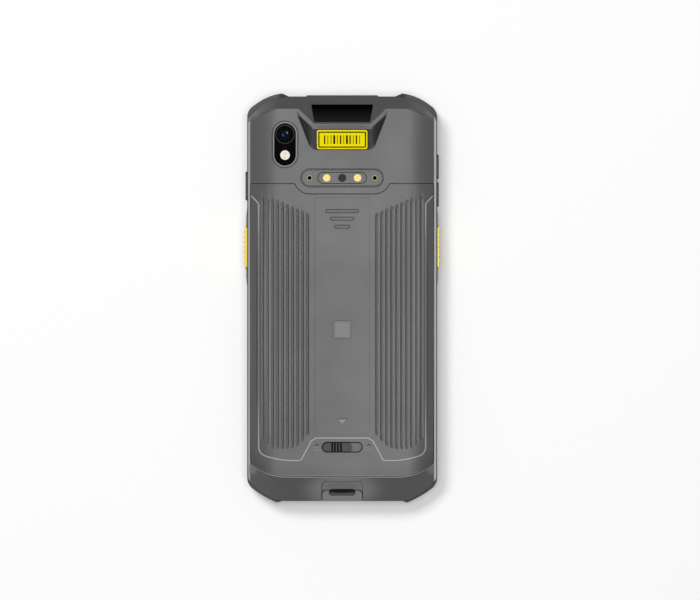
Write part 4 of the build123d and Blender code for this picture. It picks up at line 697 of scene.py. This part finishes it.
# Painted shade down in the nail slot of the port flap.
NAIL_SLOT_SHADE = Patch(
    (0.0, -75.8), (12.0, 2.1), tone(22), 1.0, 0.55, height=11.25, layer=0.9, tilt=SLOT_TILT, dull=True
)
# Painted shade in the narrow gap round the latch slider.
LATCH_GAP_SHADE = Patch(LATCH_PLACE, (12.0, 5.0), tone(14), 0.95, 0.3, height=15.2, layer=0.26, dull=True)
# Painted shade on the floor of the latch pocket.
LATCH_FLOOR_SHADE = replace(LATCH_GAP_SHADE, colour=tone(76), height=14.8, layer=0.2, dull=False)
# Painted shade on the cover, growing towards its lower seam.
SEAM_SHADE = Rim(Axis.Y, SEAM_CORNER, SEAM_RADIUS, 0.0, 5.2, tone(72), 0.95, side=-1.0)
# Painted highlight on the cover's rim at the lower seam.
SEAM_HIGHLIGHT = Rim(Axis.Y, SEAM_CORNER, SEAM_RADIUS, 0.12, 0.34, tone(168), 0.4, side=-1.0, within=40.0)
# Painted highlight on the housing's rim at the same seam.
SEAM_EDGE_HIGHLIGHT = replace(SEAM_HIGHLIGHT, depth=-0.31, reach=0.24, colour=tone(148))
# Painted shade on the floors of the rib grooves.
RIB_FLOOR_SHADE = Rim(Axis.Z, (25.0, -5.75), 21.55, 0.6, 0.3, tone(72))
# Painted light on the sloping walls of the rib grooves.
RIB_WALL_LIGHT = Facet((-0.8, 0.0, 0.6), tone(132), 14.0, 8.0)
# Painted highlight on the sloping strip along both long sides.
SIDE_HIGHLIGHT = Band(Axis.X, 36.3, tone(160))
# Painted shade line along the outer edge of both long sides.
SIDE_SHADE_LINES = both_sides((37.55, 0.0), (0.5, 300.0), tone(40), 0.9, 0.3, dull=True)
# Painted highlight, stronger on the right side's strip.
RIGHT_HIGHLIGHT = Patch((36.75, 0.0), (0.6, 300.0), tone(206), 0.85, 0.4)
# Painted light on the top bevel near both corners.
TOP_CORNER_LIGHT = both_sides((34.9, 72.2), (4.6, 1.9), tone(140), 0.35, 1.0, turn=-0.52)
# Painted light on both bottom corners.
BOTTOM_CORNER_LIGHT = both_sides((35.3, -67.3), (2.4, 3.4), tone(124), 0.7, 0.8)
# Painted shade: black at the foot of the insert bores.
INSERT_SEAT_SHADE = both_sides(INSERT_PLACE, (0.8, 0.8), tone(2), 1.0, 0.1, dull=True)
# Painted shade: black down the bores of the inserts.
INSERT_BORE_SHADE = both_sides(INSERT_PLACE, (0.9, 0.9), tone(2), 1.0, 0.1, dull=True)
# Painted light on the outer ribs of the cover.
OUTER_RIB_LIGHT = both_sides((28.9, -8.5), (2.2, 56.0), tone(112), 1.0, 0.3)
# Painted highlight along both long edges of the cover.
COVER_EDGE_HIGHLIGHTS = both_sides((36.1, -10.0), (0.3, 56.0), tone(120), 1.0, 0.5)
# Painted shade line beside both legs of the accent strip.
STRIP_EDGE_SHADE = both_sides((33.62, -12.0), (0.3, 50.0), tone(58), 0.9, 0.5)
# Dimmer painted highlight on the legs of the accent strip.
STRIP_LEG_HIGHLIGHT = both_sides((32.9, -11.0), (3.0, 49.0), tone(118), 1.0, 0.5)
# Painted shade at the steps where the top bumpers meet the housing.
BUMPER_STEP_SHADE = both_sides((23.4, 79.7), (2.2, 1.2), tone(50), 0.9, 0.5)
TRIGGER_GLINT = Patch((38.4, 10.0), (0.9, 60.0), tone(255, 240, 130), 0.8, 0.5)
# Painted reflections in the lens coating, made to glow.
BLUE_SHEEN = Patch((-23.35, 64.3), (0.95, 0.5), tone(22, 60, 150), 1.0, 0.8, -1.05, 0.4)
TEAL_SHEEN = Patch((-21.75, 65.25), (0.7, 0.42), tone(56, 140, 176), 1.0, 0.8, -1.1, 0.4)

# Tints of the flash lens, in shares of its radius and about its own centre.
WARM_TINT = Patch((0.0, 0.35), (0.62, 0.45), tone(226, 222, 150), 0.9, 0.6)
ROSE_TINT = Patch((0.0, -0.45), (0.6, 0.35), tone(238, 206, 190), 0.8, 0.6)

FRONT = Finish("front_plastic", tone(85), roughness=0.45, specular=0.66, spread=0.025, groove=0.85)
GUARD = replace(FRONT, name="guard_plastic", colour=tone(150))
PLAIN_HOUSING = replace(FRONT, name="plain_housing", layers=(SIDE_HIGHLIGHT,))
# Housing plastic with painted light and shade on its hump, bevels, seams, sides and port.
HOUSING = replace(
    FRONT, name="housing_plastic",
    layers=(
        SIDE_HIGHLIGHT, NOTCH_SHADE_LINE, SEAM_EDGE_HIGHLIGHT, HUMP_SHOULDER_LIGHT, HUMP_SIDE_SHADE, HUMP_FLANK_SHADE,
        HUMP_LABEL_FACE_SHADE, TOP_BEVEL_SHADE, BEVEL_CREASE_SHADE,
    ),
    patches=(
        HUMP_CREST_SHADE, BOTTOM_MIDDLE_LIGHT, NOTCH_FLOOR_LIGHT, NAIL_SLOT_SHADE, *BOTTOM_CORNER_LIGHT, RIGHT_HIGHLIGHT,
        *SIDE_SHADE_LINES, *INSERT_SEAT_SHADE, *TOP_CORNER_LIGHT,
    ),
)
# Cover plastic with painted light and shade on its ribs, seam, latch pocket and edges.
COVER = replace(
    FRONT, name="cover_plastic", groove=0.42,
    layers=(*OUTER_RIB_LIGHT, SEAM_SHADE, SEAM_HIGHLIGHT, RIB_FLOOR_SHADE, RIB_WALL_LIGHT),
    patches=(LATCH_GAP_SHADE, LATCH_FLOOR_SHADE, *COVER_EDGE_HIGHLIGHTS, *STRIP_EDGE_SHADE),
)
BUMPER = Finish("bumper_rubber", tone(81), edge_share=0.9, edge_colour=tone(44), radius=0.5, patches=BUMPER_STEP_SHADE)
# Painted highlight: the accent strip is light grey where its edge would catch the light.
ACCENT_HIGHLIGHT = Finish("accent_painted_highlight", tone(158), roughness=0.4, groove=0.1, patches=STRIP_LEG_HIGHLIGHT)
KEY = Finish("key_plastic", tone(50), roughness=0.42)
TRIGGER = Finish(
    "trigger_plastic", tone(255, 220, 26), roughness=0.38, edge_share=0.3, edge_colour=tone(255, 240, 150),
    groove=0.35, spread=0.03, patches=(TRIGGER_GLINT,),
)
# Painted reflection: grey in the lower part of the window, turning black towards the top.
WINDOW = Finish(
    "window_polish", tone(30), roughness=0.12, specular=0.02, relief=0.001, edge_share=0.0,
    groove=0.0, layers=(Band(Axis.Y, 72.4, tone(1), mirrored=False, fade=6.0),),
)
CAMERA_GLASS = Finish(
    "camera_glass", tone(3), roughness=0.2, specular=0.005, relief=0.0005, edge_share=0.35,
    edge_colour=tone(40), groove=0.0, radius=0.2,
)
LENS_RING = Finish("lens_ring", tone(26), roughness=0.45, specular=0.3, edge_share=0.2, edge_colour=tone(70))
TRIM = Finish("trim_satin", tone(126), roughness=0.4, edge_share=0.6, edge_colour=tone(84), groove=0.5)
FLASH = Finish(
    "flash_diffuser", tone(240, 236, 226), roughness=0.3, specular=0.2, rings=900.0,
    relief=0.03, edge_share=1.0, edge_colour=tone(30), groove=0.1, radius=0.2,
    patches=(WARM_TINT, ROSE_TINT),
)
GOLD = Finish(
    "gold_contact", tone(252, 230, 150), roughness=0.6, metallic=0.2, specular=0.3,
    edge_colour=tone(255, 246, 200), groove=0.2, relief=0.004,
)
# Painted shade: black down the bores, with the brass colour only above z = 15.5 mm.
BRASS = Finish(
    "insert_brass", tone(2, 2, 1), roughness=0.6, specular=0.1, groove=0.0, edge_share=0.0,
    layers=(Band(Axis.Z, 15.5, tone(226, 204, 140), mirrored=False),), patches=INSERT_BORE_SHADE,
)
PLUG = Finish("plug_dark", tone(26), specular=0.25)
LABEL = Finish(
    "label_film", tone(255, 238, 0), roughness=0.35, specular=0.15, edge_share=0.05,
    edge_colour=tone(255, 250, 190), groove=0.2, spread=0.02, relief=0.004,
)
INK = Finish("printing_ink", tone(16, 15, 3), roughness=0.45, specular=0.1, edge_share=0.0, groove=0.0)
NAVY = replace(INK, name="label_edge", colour=tone(24, 26, 92))
# Painted shade: black in the slider's grooves and along its edges, its own grey only on the top face.
LATCH = Finish(
    "latch_plastic", tone(3), roughness=0.6, groove=0.6, specular=0.12, edge_share=0.9,
    edge_colour=tone(10), radius=0.35, layers=(Band(Axis.Z, 15.55, tone(82), mirrored=False),),
)
STEEL = Finish("steel_sheet", (0.55, 0.55, 0.56, 1.0), roughness=0.32, metallic=1.0)
ALUMINIUM = Finish("aluminium_sheet", (0.62, 0.62, 0.63, 1.0), roughness=0.38, metallic=1.0)
BOARD = Finish("board_mask", (0.01, 0.12, 0.06, 1.0), roughness=0.35, edge_colour=(0.5, 0.4, 0.15, 1.0))
BATTERY = Finish("battery_wrap", tone(46), roughness=0.4, coat=0.1)
GASKET = Finish("seal_rubber", tone(34), roughness=0.7)
FERRITE = Finish("ferrite_sheet", tone(38), roughness=0.6)
FLAP = Finish("flap_rubber", tone(130), groove=0.85, layers=(NOTCH_SHADE_LINE,), patches=(NAIL_SLOT_SHADE,))
SCREEN_GLASS = Finish(
    "screen_glass", tone(10), roughness=0.06, relief=0.0005, edge_share=0.0, groove=0.0, coat=0.5
)
INNER = Finish("inner_plastic", tone(40))
LENS = Finish(
    "lens_coating", tone(9), roughness=0.08, specular=0.02, relief=0.0005, edge_share=0.3,
    edge_colour=tone(48), groove=0.0, patches=(BLUE_SHEEN, TEAL_SHEEN),
)
# Lit and shaded copies of the mark tone: painted light on the lock bodies and the arrow, painted shade
# on the shackles.
LIT_MARK = Finish("mark_painted_light", tone(138), edge_share=0.1, groove=0.1)
SHADED_MARK = Finish("mark_painted_shade", tone(86), roughness=0.7, specular=0.2, edge_share=0.0, groove=0.1)
BADGE = Finish("badge_plastic", tone(124), edge_share=0.15, groove=0.3)


# ---- modelling bench
class Bench:
    """Modelling steps with Blender's own operators."""

    SAME_WAY = 0.9

    @staticmethod
    def only(*pieces: Shape) -> None:
        """Select these objects alone, and make the first one active.

        Args:
            pieces: The objects, or none to leave nothing selected.
        """
        bpy.ops.object.select_all(action="DESELECT")
        for piece in pieces:
            piece.select_set(True)
        if pieces:
            bpy.context.view_layer.objects.active = pieces[0]

    @classmethod
    def start(cls, name: str, operator: Callable, **settings: object) -> Shape:
        """Add a primitive.

        Args:
            name: Name of the new piece.
            operator: The primitive's operator.
            settings: Its settings.

        Returns:
            The new object, with its place in its mesh.
        """
        cls.only()
        operator(**settings)
        piece = bpy.context.active_object
        piece.name = piece.data.name = name
        bpy.ops.object.transform_apply(location=True, rotation=True, scale=True)
        return piece

    @classmethod
    @contextmanager
    def editing(cls, piece: Shape, everything: bool = True) -> Iterator[None]:
        """Open a piece in edit mode, and close it afterwards.

        Args:
            piece: The piece.
            everything: Whether all of it starts out selected, or nothing.
        """
        cls.only(piece)
        bpy.ops.object.mode_set(mode="EDIT")
        bpy.ops.mesh.select_all(action="SELECT" if everything else "DESELECT")
        try:
            yield
        finally:
            bpy.ops.object.mode_set(mode="OBJECT")

    @classmethod
    def pick(cls, piece: Shape, facing: Place) -> None:
        """Select the faces that look about one way, in edit mode.

        Args:
            piece: The piece that is open.
            facing: The way they look, as a unit vector.
        """
        bpy.ops.mesh.select_mode(type="FACE")
        mesh = bmesh.from_edit_mesh(piece.data)
        for face in mesh.faces:
            face.select_set(face.normal.dot(Vector(facing)) > cls.SAME_WAY)
        bmesh.update_edit_mesh(piece.data)

    @staticmethod
    def extrude(shift: Place) -> None:
        """Extrude what is selected and move it, in edit mode."""
        bpy.ops.mesh.extrude_region_move(TRANSFORM_OT_translate={"value": shift})

    @classmethod
    def modify(cls, piece: Shape, kind: str, **settings: object) -> None:
        """Add a modifier and apply it.

        Args:
            piece: The piece.
            kind: Type of the modifier.
            settings: Its settings.
        """
        cls.only(piece)
        modifier = piece.modifiers.new(kind.lower(), kind)
        for label, value in settings.items():
            setattr(modifier, label, value)
        bpy.ops.object.modifier_apply(modifier=modifier.name)

    @staticmethod
    def move(piece: Shape, matrix: Matrix) -> None:
        """Carry the mesh of a piece by a matrix, with its object left at the origin."""
        piece.data.transform(matrix)
        piece.data.update()

    @classmethod
    def shift(cls, piece: Shape, x: float, y: float, z: float) -> None:
        """Carry the mesh of a piece along, with its object left at the origin."""
        cls.move(piece, Matrix.Translation((x, y, z)))

    @classmethod
    def join(cls, name: str, pieces: list[Shape]) -> Shape:
        """Join pieces into the first one.

        Args:
            name: Name of the joined piece.
            pieces: The pieces.

        Returns:
            The joined piece.
        """
        cls.only(*pieces)
        bpy.ops.object.join()
        pieces[0].name = pieces[0].data.name = name
        return pieces[0]

    @classmethod
    def thicken(cls, piece: Shape, thick: float, line: float = 0.0) -> None:
        """Give a flat piece its height above z = 0.

        Args:
            piece: The flat piece.
            thick: Its height.
            line: Width of the rim that is kept, or 0 for all of it.
        """
        if line > 0.0:
            with cls.editing(piece):
                bpy.ops.mesh.inset(thickness=line)
                bpy.ops.mesh.delete(type="FACE")
        cls.modify(piece, "SOLIDIFY", thickness=thick, offset=1.0)

    @classmethod
    def plate(cls, name: str, size: Pair, corner: float, thick: float, line: float = 0.0) -> Shape:
        """Flat plate or frame on z = 0 with rounded corners.

        Args:
            name: Name of the plate.
            size: Its width and height.
            corner: Corner radius.
            thick: Height above z = 0.
            line: Width of the frame, or 0 for a whole plate.

        Returns:
            The closed plate.
        """
        piece = cls.start(name, bpy.ops.mesh.primitive_plane_add, size=1.0)
        with cls.editing(piece):
            bpy.ops.transform.resize(value=(*size, 1.0))
            bpy.ops.mesh.bevel(offset=corner, segments=5, affect="VERTICES")
        cls.thicken(piece, thick, line)
        return piece


@dataclass
class Piece:
    """A sub-assembly of the terminal that dresses its nodes and adds its own pieces."""

    body: ClassVar[str] = "root"

    finishes: Finishes

    def dress(self, finish: Finish, *names: str) -> None:
        """Give CAD nodes a finish.

        Args:
            finish: The finish.
            names: Names of the nodes.
        """
        material = self.finishes.get(finish)
        for name in names:
            node = NODES[name]
            node.data.materials.clear()
            node.data.materials.append(material)
            LOG.info("%s: finish %s", name, finish.name)

    def fit(self, piece: Shape, finish: Finish, slot: str) -> None:
        """Give a new piece its finish and body.

        Args:
            piece: The new piece.
            finish: Its finish.
            slot: Not used.
        """
        piece.data.materials.clear()
        piece.data.materials.append(self.finishes.get(finish))
        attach(piece, self.body)
        LOG.info("%s: %d faces, finish %s", piece.name, len(piece.data.polygons), finish.name)


# ---- sub-assemblies
class Shells(Piece):
    """Housings, bumpers and the inner build."""

    def make(self) -> None:
        """Dress all that is plain and fixed to the housings."""
        self.dress(HOUSING, "rear_housing", "contact_plate")
        self.dress(FRONT, "front_housing")
        self.dress(GUARD, "trigger_guard_left", "trigger_guard_right")
        self.dress(
            BUMPER, "corner_bumper_top_left", "corner_bumper_top_right",
            "corner_bumper_bottom_left", "corner_bumper_bottom_right",
        )
        self.dress(SCREEN_GLASS, "display_glass")
        self.dress(
            INNER, "display_module", "scan_engine", "camera_module", "loudspeaker",
            "side_switches", "battery_contacts",
        )
        self.dress(ALUMINIUM, "chassis_plate", "shield_cans")
        self.dress(
            STEEL, "earpiece_grille", "housing_screws", "scan_bracket", "usb_receptacle",
            "vibration_motor", "flap_pin",
        )
        self.dress(BOARD, "main_board", "sub_board")
        self.dress(BATTERY, "battery_pack")
        self.dress(GASKET, "bay_gasket")
        self.dress(LENS, "front_camera_lens")


@dataclass
class ScannerHead(Piece):
    """Scan window and the label plate on the hump."""

    frame_size: Pair = (18.8 * MM, 6.7 * MM)
    frame_corner: float = 0.45 * MM
    frame_line: float = 0.48 * MM
    edge_size: Pair = (20.52 * MM, 8.62 * MM)
    edge_corner: float = 1.0 * MM
    edge_line: float = 0.3 * MM
    plate_proud: float = 0.15 * MM
    plate_thick: float = 0.35 * MM
    rise_and_run: Pair = (3.2, 8.2)
    ink: float = 0.03 * MM
    bar_height: float = 3.6 * MM
    bar_corner: float = 0.05 * MM
    bar_step: float = 1.25 * MM
    bar_unit: float = 0.25 * MM
    bar_units: tuple[int, ...] = (2, 1, 1, 3, 1, 2, 1, 3, 2, 1, 2, 1)

    def make(self) -> None:
        """Dress the window and the plate, and print the plate."""
        self.dress(WINDOW, "scan_window")
        self.dress(LABEL, "label_plate")
        self._print()
        self._edge()

    def _seat(self) -> Matrix:
        """Place and tilt of the label plate's outer face.

        Returns:
            The matrix that carries a flat print onto it.
        """
        low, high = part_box("label_plate")
        turn = Matrix.Rotation(math.atan2(*self.rise_and_run), 4, "X")
        lift = turn @ Vector((0.0, 0.0, self.plate_thick / 2.0))
        return Matrix.Translation((low + high) / 2.0 + lift) @ turn

    def _print(self) -> None:
        """Plain black frame line and plain bars of ink."""
        size, corner, line = self.frame_size, self.frame_corner, self.frame_line
        parts = [Bench.plate("label_print", size, corner, self.ink, line)]
        start = -self.bar_step * (len(self.bar_units) - 1) / 2.0
        for index, units in enumerate(self.bar_units):
            size = (units * self.bar_unit, self.bar_height)
            bar = Bench.plate(f"label_bar_{index}", size, self.bar_corner, self.ink)
            Bench.shift(bar, start + index * self.bar_step, 0.0, 0.0)
            parts.append(bar)
        ink = Bench.join("label_print", parts)
        Bench.move(ink, self._seat())
        self.fit(ink, INK, "label")

    def _edge(self) -> None:
        """Thin dark line round the plate, on the face that holds it."""
        edge = Bench.plate("label_edge", self.edge_size, self.edge_corner, self.ink, self.edge_line)
        Bench.move(edge, self._seat() @ Matrix.Translation((0.0, 0.0, -self.plate_proud)))
        self.fit(edge, NAVY, "label")


@dataclass
class CameraUnit(Piece):
    """Camera window, its trim ring, the lens and the flash."""

    rim: float = 2.25 * MM
    rim_bevel: float = 0.04 * MM
    smooth_below: float = math.radians(35.0)
    ring: float = 3.75 * MM
    ring_line: float = 0.3 * MM
    ring_z: float = 15.66 * MM
    ring_thick: float = 0.04 * MM
    segments: int = 48

    # Inset and rise of each step towards the middle of the lens, in mm.
    steps: tuple[Pair, ...] = ((0.22, -0.12), (0.5, -0.1), (0.15, 0.06), (0.5, -0.15))

    def make(self) -> None:
        """Dress the unit and turn the lens."""
        self.dress(TRIM, "camera_trim")
        self.dress(CAMERA_GLASS, "camera_window")
        self.dress(self._flash(), "flash_lens")
        self._lens()
        self._ring()

    def _flash(self) -> Finish:
        """Finish of the flash, with its rings and tints about its own centre.

        Returns:
            The finish in place.
        """
        low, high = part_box("flash_lens")
        centre = tuple((low + high).xy / 2.0 / MM)
        reach = (high.x - low.x) / 2.0 / MM
        tints = tuple(tint.carried(centre, reach) for tint in FLASH.patches)
        return replace(FLASH, ring_centre=centre, patches=tints)

    def _lens(self) -> None:
        """Lens barrel stepped inwards to a coated front element."""
        low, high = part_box("camera_lens")
        barrel = Bench.start(
            "lens_barrel", bpy.ops.mesh.primitive_cylinder_add, vertices=self.segments,
            radius=self.rim, depth=high.z - low.z, location=(low + high) / 2.0,
        )
        with Bench.editing(barrel, everything=False):
            Bench.pick(barrel, (0.0, 0.0, 1.0))
            for width, rise in self.steps:
                bpy.ops.mesh.inset(thickness=width * MM)
                Bench.extrude((0.0, 0.0, rise * MM))
        Bench.modify(barrel, "BEVEL", width=self.rim_bevel, segments=2, limit_method="ANGLE")
        Bench.only(barrel)
        bpy.ops.object.shade_smooth_by_angle(angle=self.smooth_below)
        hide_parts("camera_lens")
        self.fit(barrel, LENS, "lens_glass")

    def _ring(self) -> None:
        """Flat satin ring printed round the lens."""
        low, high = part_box("camera_lens")
        middle = (low + high) / 2.0
        ring = Bench.start(
            "lens_ring", bpy.ops.mesh.primitive_circle_add, vertices=self.segments,
            radius=self.ring, fill_type="NGON",
        )
        Bench.thicken(ring, self.ring_thick, self.ring_line)
        Bench.shift(ring, middle.x, middle.y, self.ring_z)
        self.fit(ring, LENS_RING, "lens_glass")


class Contacts(Piece):
    """Accessory contact block with its pads, plug and inserts."""

    def make(self) -> None:
        """Dress the contacts."""
        self.dress(PLAIN_HOUSING, "contact_block")
        self.dress(GOLD, "contact_pads")
        self.dress(PLUG, "contact_plug")
        self.dress(BRASS, "grip_inserts")


@dataclass
class CoverDressing(Piece):
    """Battery cover with its accent strip, badge, arrow and lock marks."""

    body: ClassVar[str] = "cover"

    back: float = 15.8 * MM
    sunk: float = 0.22 * MM
    mark_thick: float = 0.1 * MM
    badge_y: float = -12.3 * MM
    badge_size: float = 6.9 * MM
    badge_corner: float = 0.7 * MM
    badge_line: float = 0.45 * MM
    badge_field: float = 0.04 * MM
    arrow_y: float = -48.2 * MM
    arrow_size: float = 2.1 * MM
    arrow_corner: float = 0.12 * MM
    arrow_flat: float = 0.6
    lock_place: Pair = (10.0 * MM, LATCH_PLACE[1] * MM)
    lock_size: Pair = (2.1 * MM, 1.7 * MM)
    lock_corner: float = 0.25 * MM
    lock_line: float = 0.32 * MM
    lock_thick: float = 0.06 * MM
    lock_offset: float = 0.6 * MM
    lock_open: float = 0.55 * MM
    bow_radius: float = 0.62 * MM
    bow_wire: float = 0.15 * MM
    bow_leg: float = 0.35 * MM
    bow_flat: float = 0.4

    def make(self) -> None:
        """Dress the cover and add its marks."""
        self.dress(COVER, "battery_cover")
        self.dress(ACCENT_HIGHLIGHT, "accent_strip")
        self.dress(FERRITE, "nfc_antenna")
        self._badge()
        self._arrow()
        self._lock("lock_mark_closed", -self.lock_place[0], 0.0)
        self._lock("lock_mark_open", self.lock_place[0], self.lock_open)

    def _badge(self) -> None:
        """Plain rounded square with a raised border, over the antenna."""
        size = (self.badge_size, self.badge_size)
        field = Bench.plate("badge_field", size, self.badge_corner, self.badge_field)
        border = Bench.plate("badge_border", size, self.badge_corner, self.mark_thick, self.badge_line)
        badge = Bench.join("contactless_badge", [field, border])
        Bench.shift(badge, 0.0, self.badge_y, self.back - self.sunk)
        self.fit(badge, BADGE, "cover")

    def _arrow(self) -> None:
        """Small triangle that points to the latch."""
        arrow = Bench.start(
            "arrow_mark", bpy.ops.mesh.primitive_circle_add, vertices=3,
            radius=self.arrow_size, fill_type="NGON",
        )
        with Bench.editing(arrow):
            bpy.ops.transform.rotate(value=math.pi, orient_axis="Z", center_override=(0.0, 0.0, 0.0))
            bpy.ops.transform.resize(value=(1.0, self.arrow_flat, 1.0))
            bpy.ops.mesh.bevel(offset=self.arrow_corner, segments=3, affect="VERTICES")
        Bench.thicken(arrow, self.mark_thick)
        Bench.shift(arrow, 0.0, self.arrow_y, self.back - self.sunk)
        self.fit(arrow, LIT_MARK, "accent")

    def _lock(self, name: str, x: float, lift: float) -> None:
        """Small padlock sign.

        Args:
            name: Name of the mark.
            x: Its place along the latch.
            lift: How far the shackle stands off to one side, for the open sign.
        """
        body = Bench.plate(
            f"{name}_body", self.lock_size, self.lock_corner, self.lock_thick, self.lock_line
        )
        Bench.shift(body, 0.0, -self.lock_offset, 0.0)
        shackle = Bench.start(
            f"{name}_shackle", bpy.ops.mesh.primitive_torus_add, major_radius=self.bow_radius,
            minor_radius=self.bow_wire, major_segments=24, minor_segments=8,
        )
        with Bench.editing(shackle):
            bpy.ops.mesh.bisect(
                plane_co=(0.0, 0.0, 0.0), plane_no=(0.0, -1.0, 0.0), clear_outer=True, use_fill=True
            )
            Bench.pick(shackle, (0.0, -1.0, 0.0))
            Bench.extrude((0.0, -self.bow_leg, 0.0))
        Bench.move(shackle, Matrix.Scale(self.bow_flat, 4, (0.0, 0.0, 1.0)))
        Bench.shift(shackle, lift, self.lock_offset, self.lock_thick / 2.0)
        # The lock body in painted light, the shackle in painted shade.
        for piece, finish in ((body, LIT_MARK), (shackle, SHADED_MARK)):
            Bench.shift(piece, x, self.lock_place[1], self.back)
            self.fit(piece, finish, "accent")


class LatchDressing(Piece):
    """The latch slider and its bolt."""

    def make(self) -> None:
        """Dress the latch."""
        self.dress(LATCH, "latch_slider", "latch_bolt")


class Controls(Piece):
    """Triggers, keys and the port flap."""

    def make(self) -> None:
        """Dress the moving controls."""
        self.dress(TRIGGER, "scan_trigger_left", "scan_trigger_right")
        self.dress(KEY, "power_button", "volume_up_button", "volume_down_button")
        self.dress(FLAP, "port_flap")


# ---- studio
@dataclass(frozen=True)
class Lamp:
    """A square soft lamp aimed at the terminal, with its power in watts."""

    name: str
    place: Place
    size: float
    power: float
    mirrored: bool = True

    def hang(self) -> None:
        """Put the lamp into the scene."""
        data = bpy.data.lights.new(self.name, "AREA")
        data.size = self.size
        data.energy = self.power
        lamp = bpy.data.objects.new(self.name, data)
        lamp.location = self.place
        lamp.rotation_euler = Vector(self.place).to_track_quat("Z", "Y").to_euler()
        lamp.visible_glossy = self.mirrored
        bpy.context.scene.collection.objects.link(lamp)


@dataclass
class Studio:
    """Pale floor, the camera, and soft lamps over the back and for the shadow."""

    width: float = 275.8 * MM
    centre: Pair = (3.09 * MM, -0.69 * MM)
    focus_z: float = 15.8 * MM
    lens: float = 300.0
    sensor: float = 36.0
    sight: float = 20.0
    floor_size: float = 6.0
    floor_colour: Colour = (0.88, 0.88, 0.88, 1.0)
    floor_roughness: float = 0.9
    floor_glow: float = 0.14
    world: float = 0.2
    lamps: tuple[Lamp, ...] = (
        Lamp("top_lamp", (0.08, 0.0, 2.2), 1.0, 19.6),
        Lamp("key_lamp", (-0.92, 1.25, 2.2), 0.9, 34.0, mirrored=False),
    )

    def make(self) -> None:
        """Set the camera first, then the floor, the lamps and the world."""
        self._camera()
        self._floor()
        for lamp in self.lamps:
            lamp.hang()
        self._world()
        bpy.context.scene.view_settings.view_transform = "Standard"

    def _camera(self) -> None:
        """Long lens straight over the back."""
        data = bpy.data.cameras.new("photo_camera")
        data.lens = self.lens
        data.sensor_width = self.sensor
        data.clip_end = self.sight
        camera = bpy.data.objects.new("photo_camera", data)
        camera.location = (*self.centre, self.focus_z + self.width * self.lens / self.sensor)
        bpy.context.scene.collection.objects.link(camera)
        bpy.context.scene.camera = camera

    def _floor(self) -> None:
        """Plain floor that the camera sees as white, with its shadow kept."""
        piece = Bench.start("studio_floor", bpy.ops.mesh.primitive_plane_add, size=self.floor_size)
        material = bpy.data.materials.new("studio_floor")
        material.use_nodes = True
        net = Net(material.node_tree)
        rays = net.add("LightPath", {})
        seen = net.math("ADD", rays["Is Camera Ray"], rays["Is Glossy Ray"], clamp=True)
        seen = net.math("ADD", seen, rays["Is Transmission Ray"], clamp=True)
        net.fill(material.node_tree.nodes["Principled BSDF"].inputs, {
            "Base Color": self.floor_colour,
            "Roughness": self.floor_roughness,
            "Specular IOR Level": 0.0,
            "Emission Color": WHITE,
            "Emission Strength": net.math("MULTIPLY", seen, self.floor_glow),
        })
        piece.data.materials.append(material)

    def _world(self) -> None:
        """Even pale surroundings."""
        world = bpy.data.worlds.new("studio")
        world.use_nodes = True
        net = Net(world.node_tree)
        background = world.node_tree.nodes["Background"].inputs
        net.fill(background, {"Color": WHITE, "Strength": self.world})
        bpy.context.scene.world = world


def main() -> None:
    """Build the studio and every sub-assembly."""
    logging.basicConfig(level=logging.INFO, format="%(name)s %(message)s")
    Studio().make()
    finishes = Finishes(ShaderLibrary())
    for assembly in (Shells, ScannerHead, CameraUnit, Contacts, CoverDressing, LatchDressing, Controls):
        assembly(finishes).make()


if __name__ == "__main__":
    main()
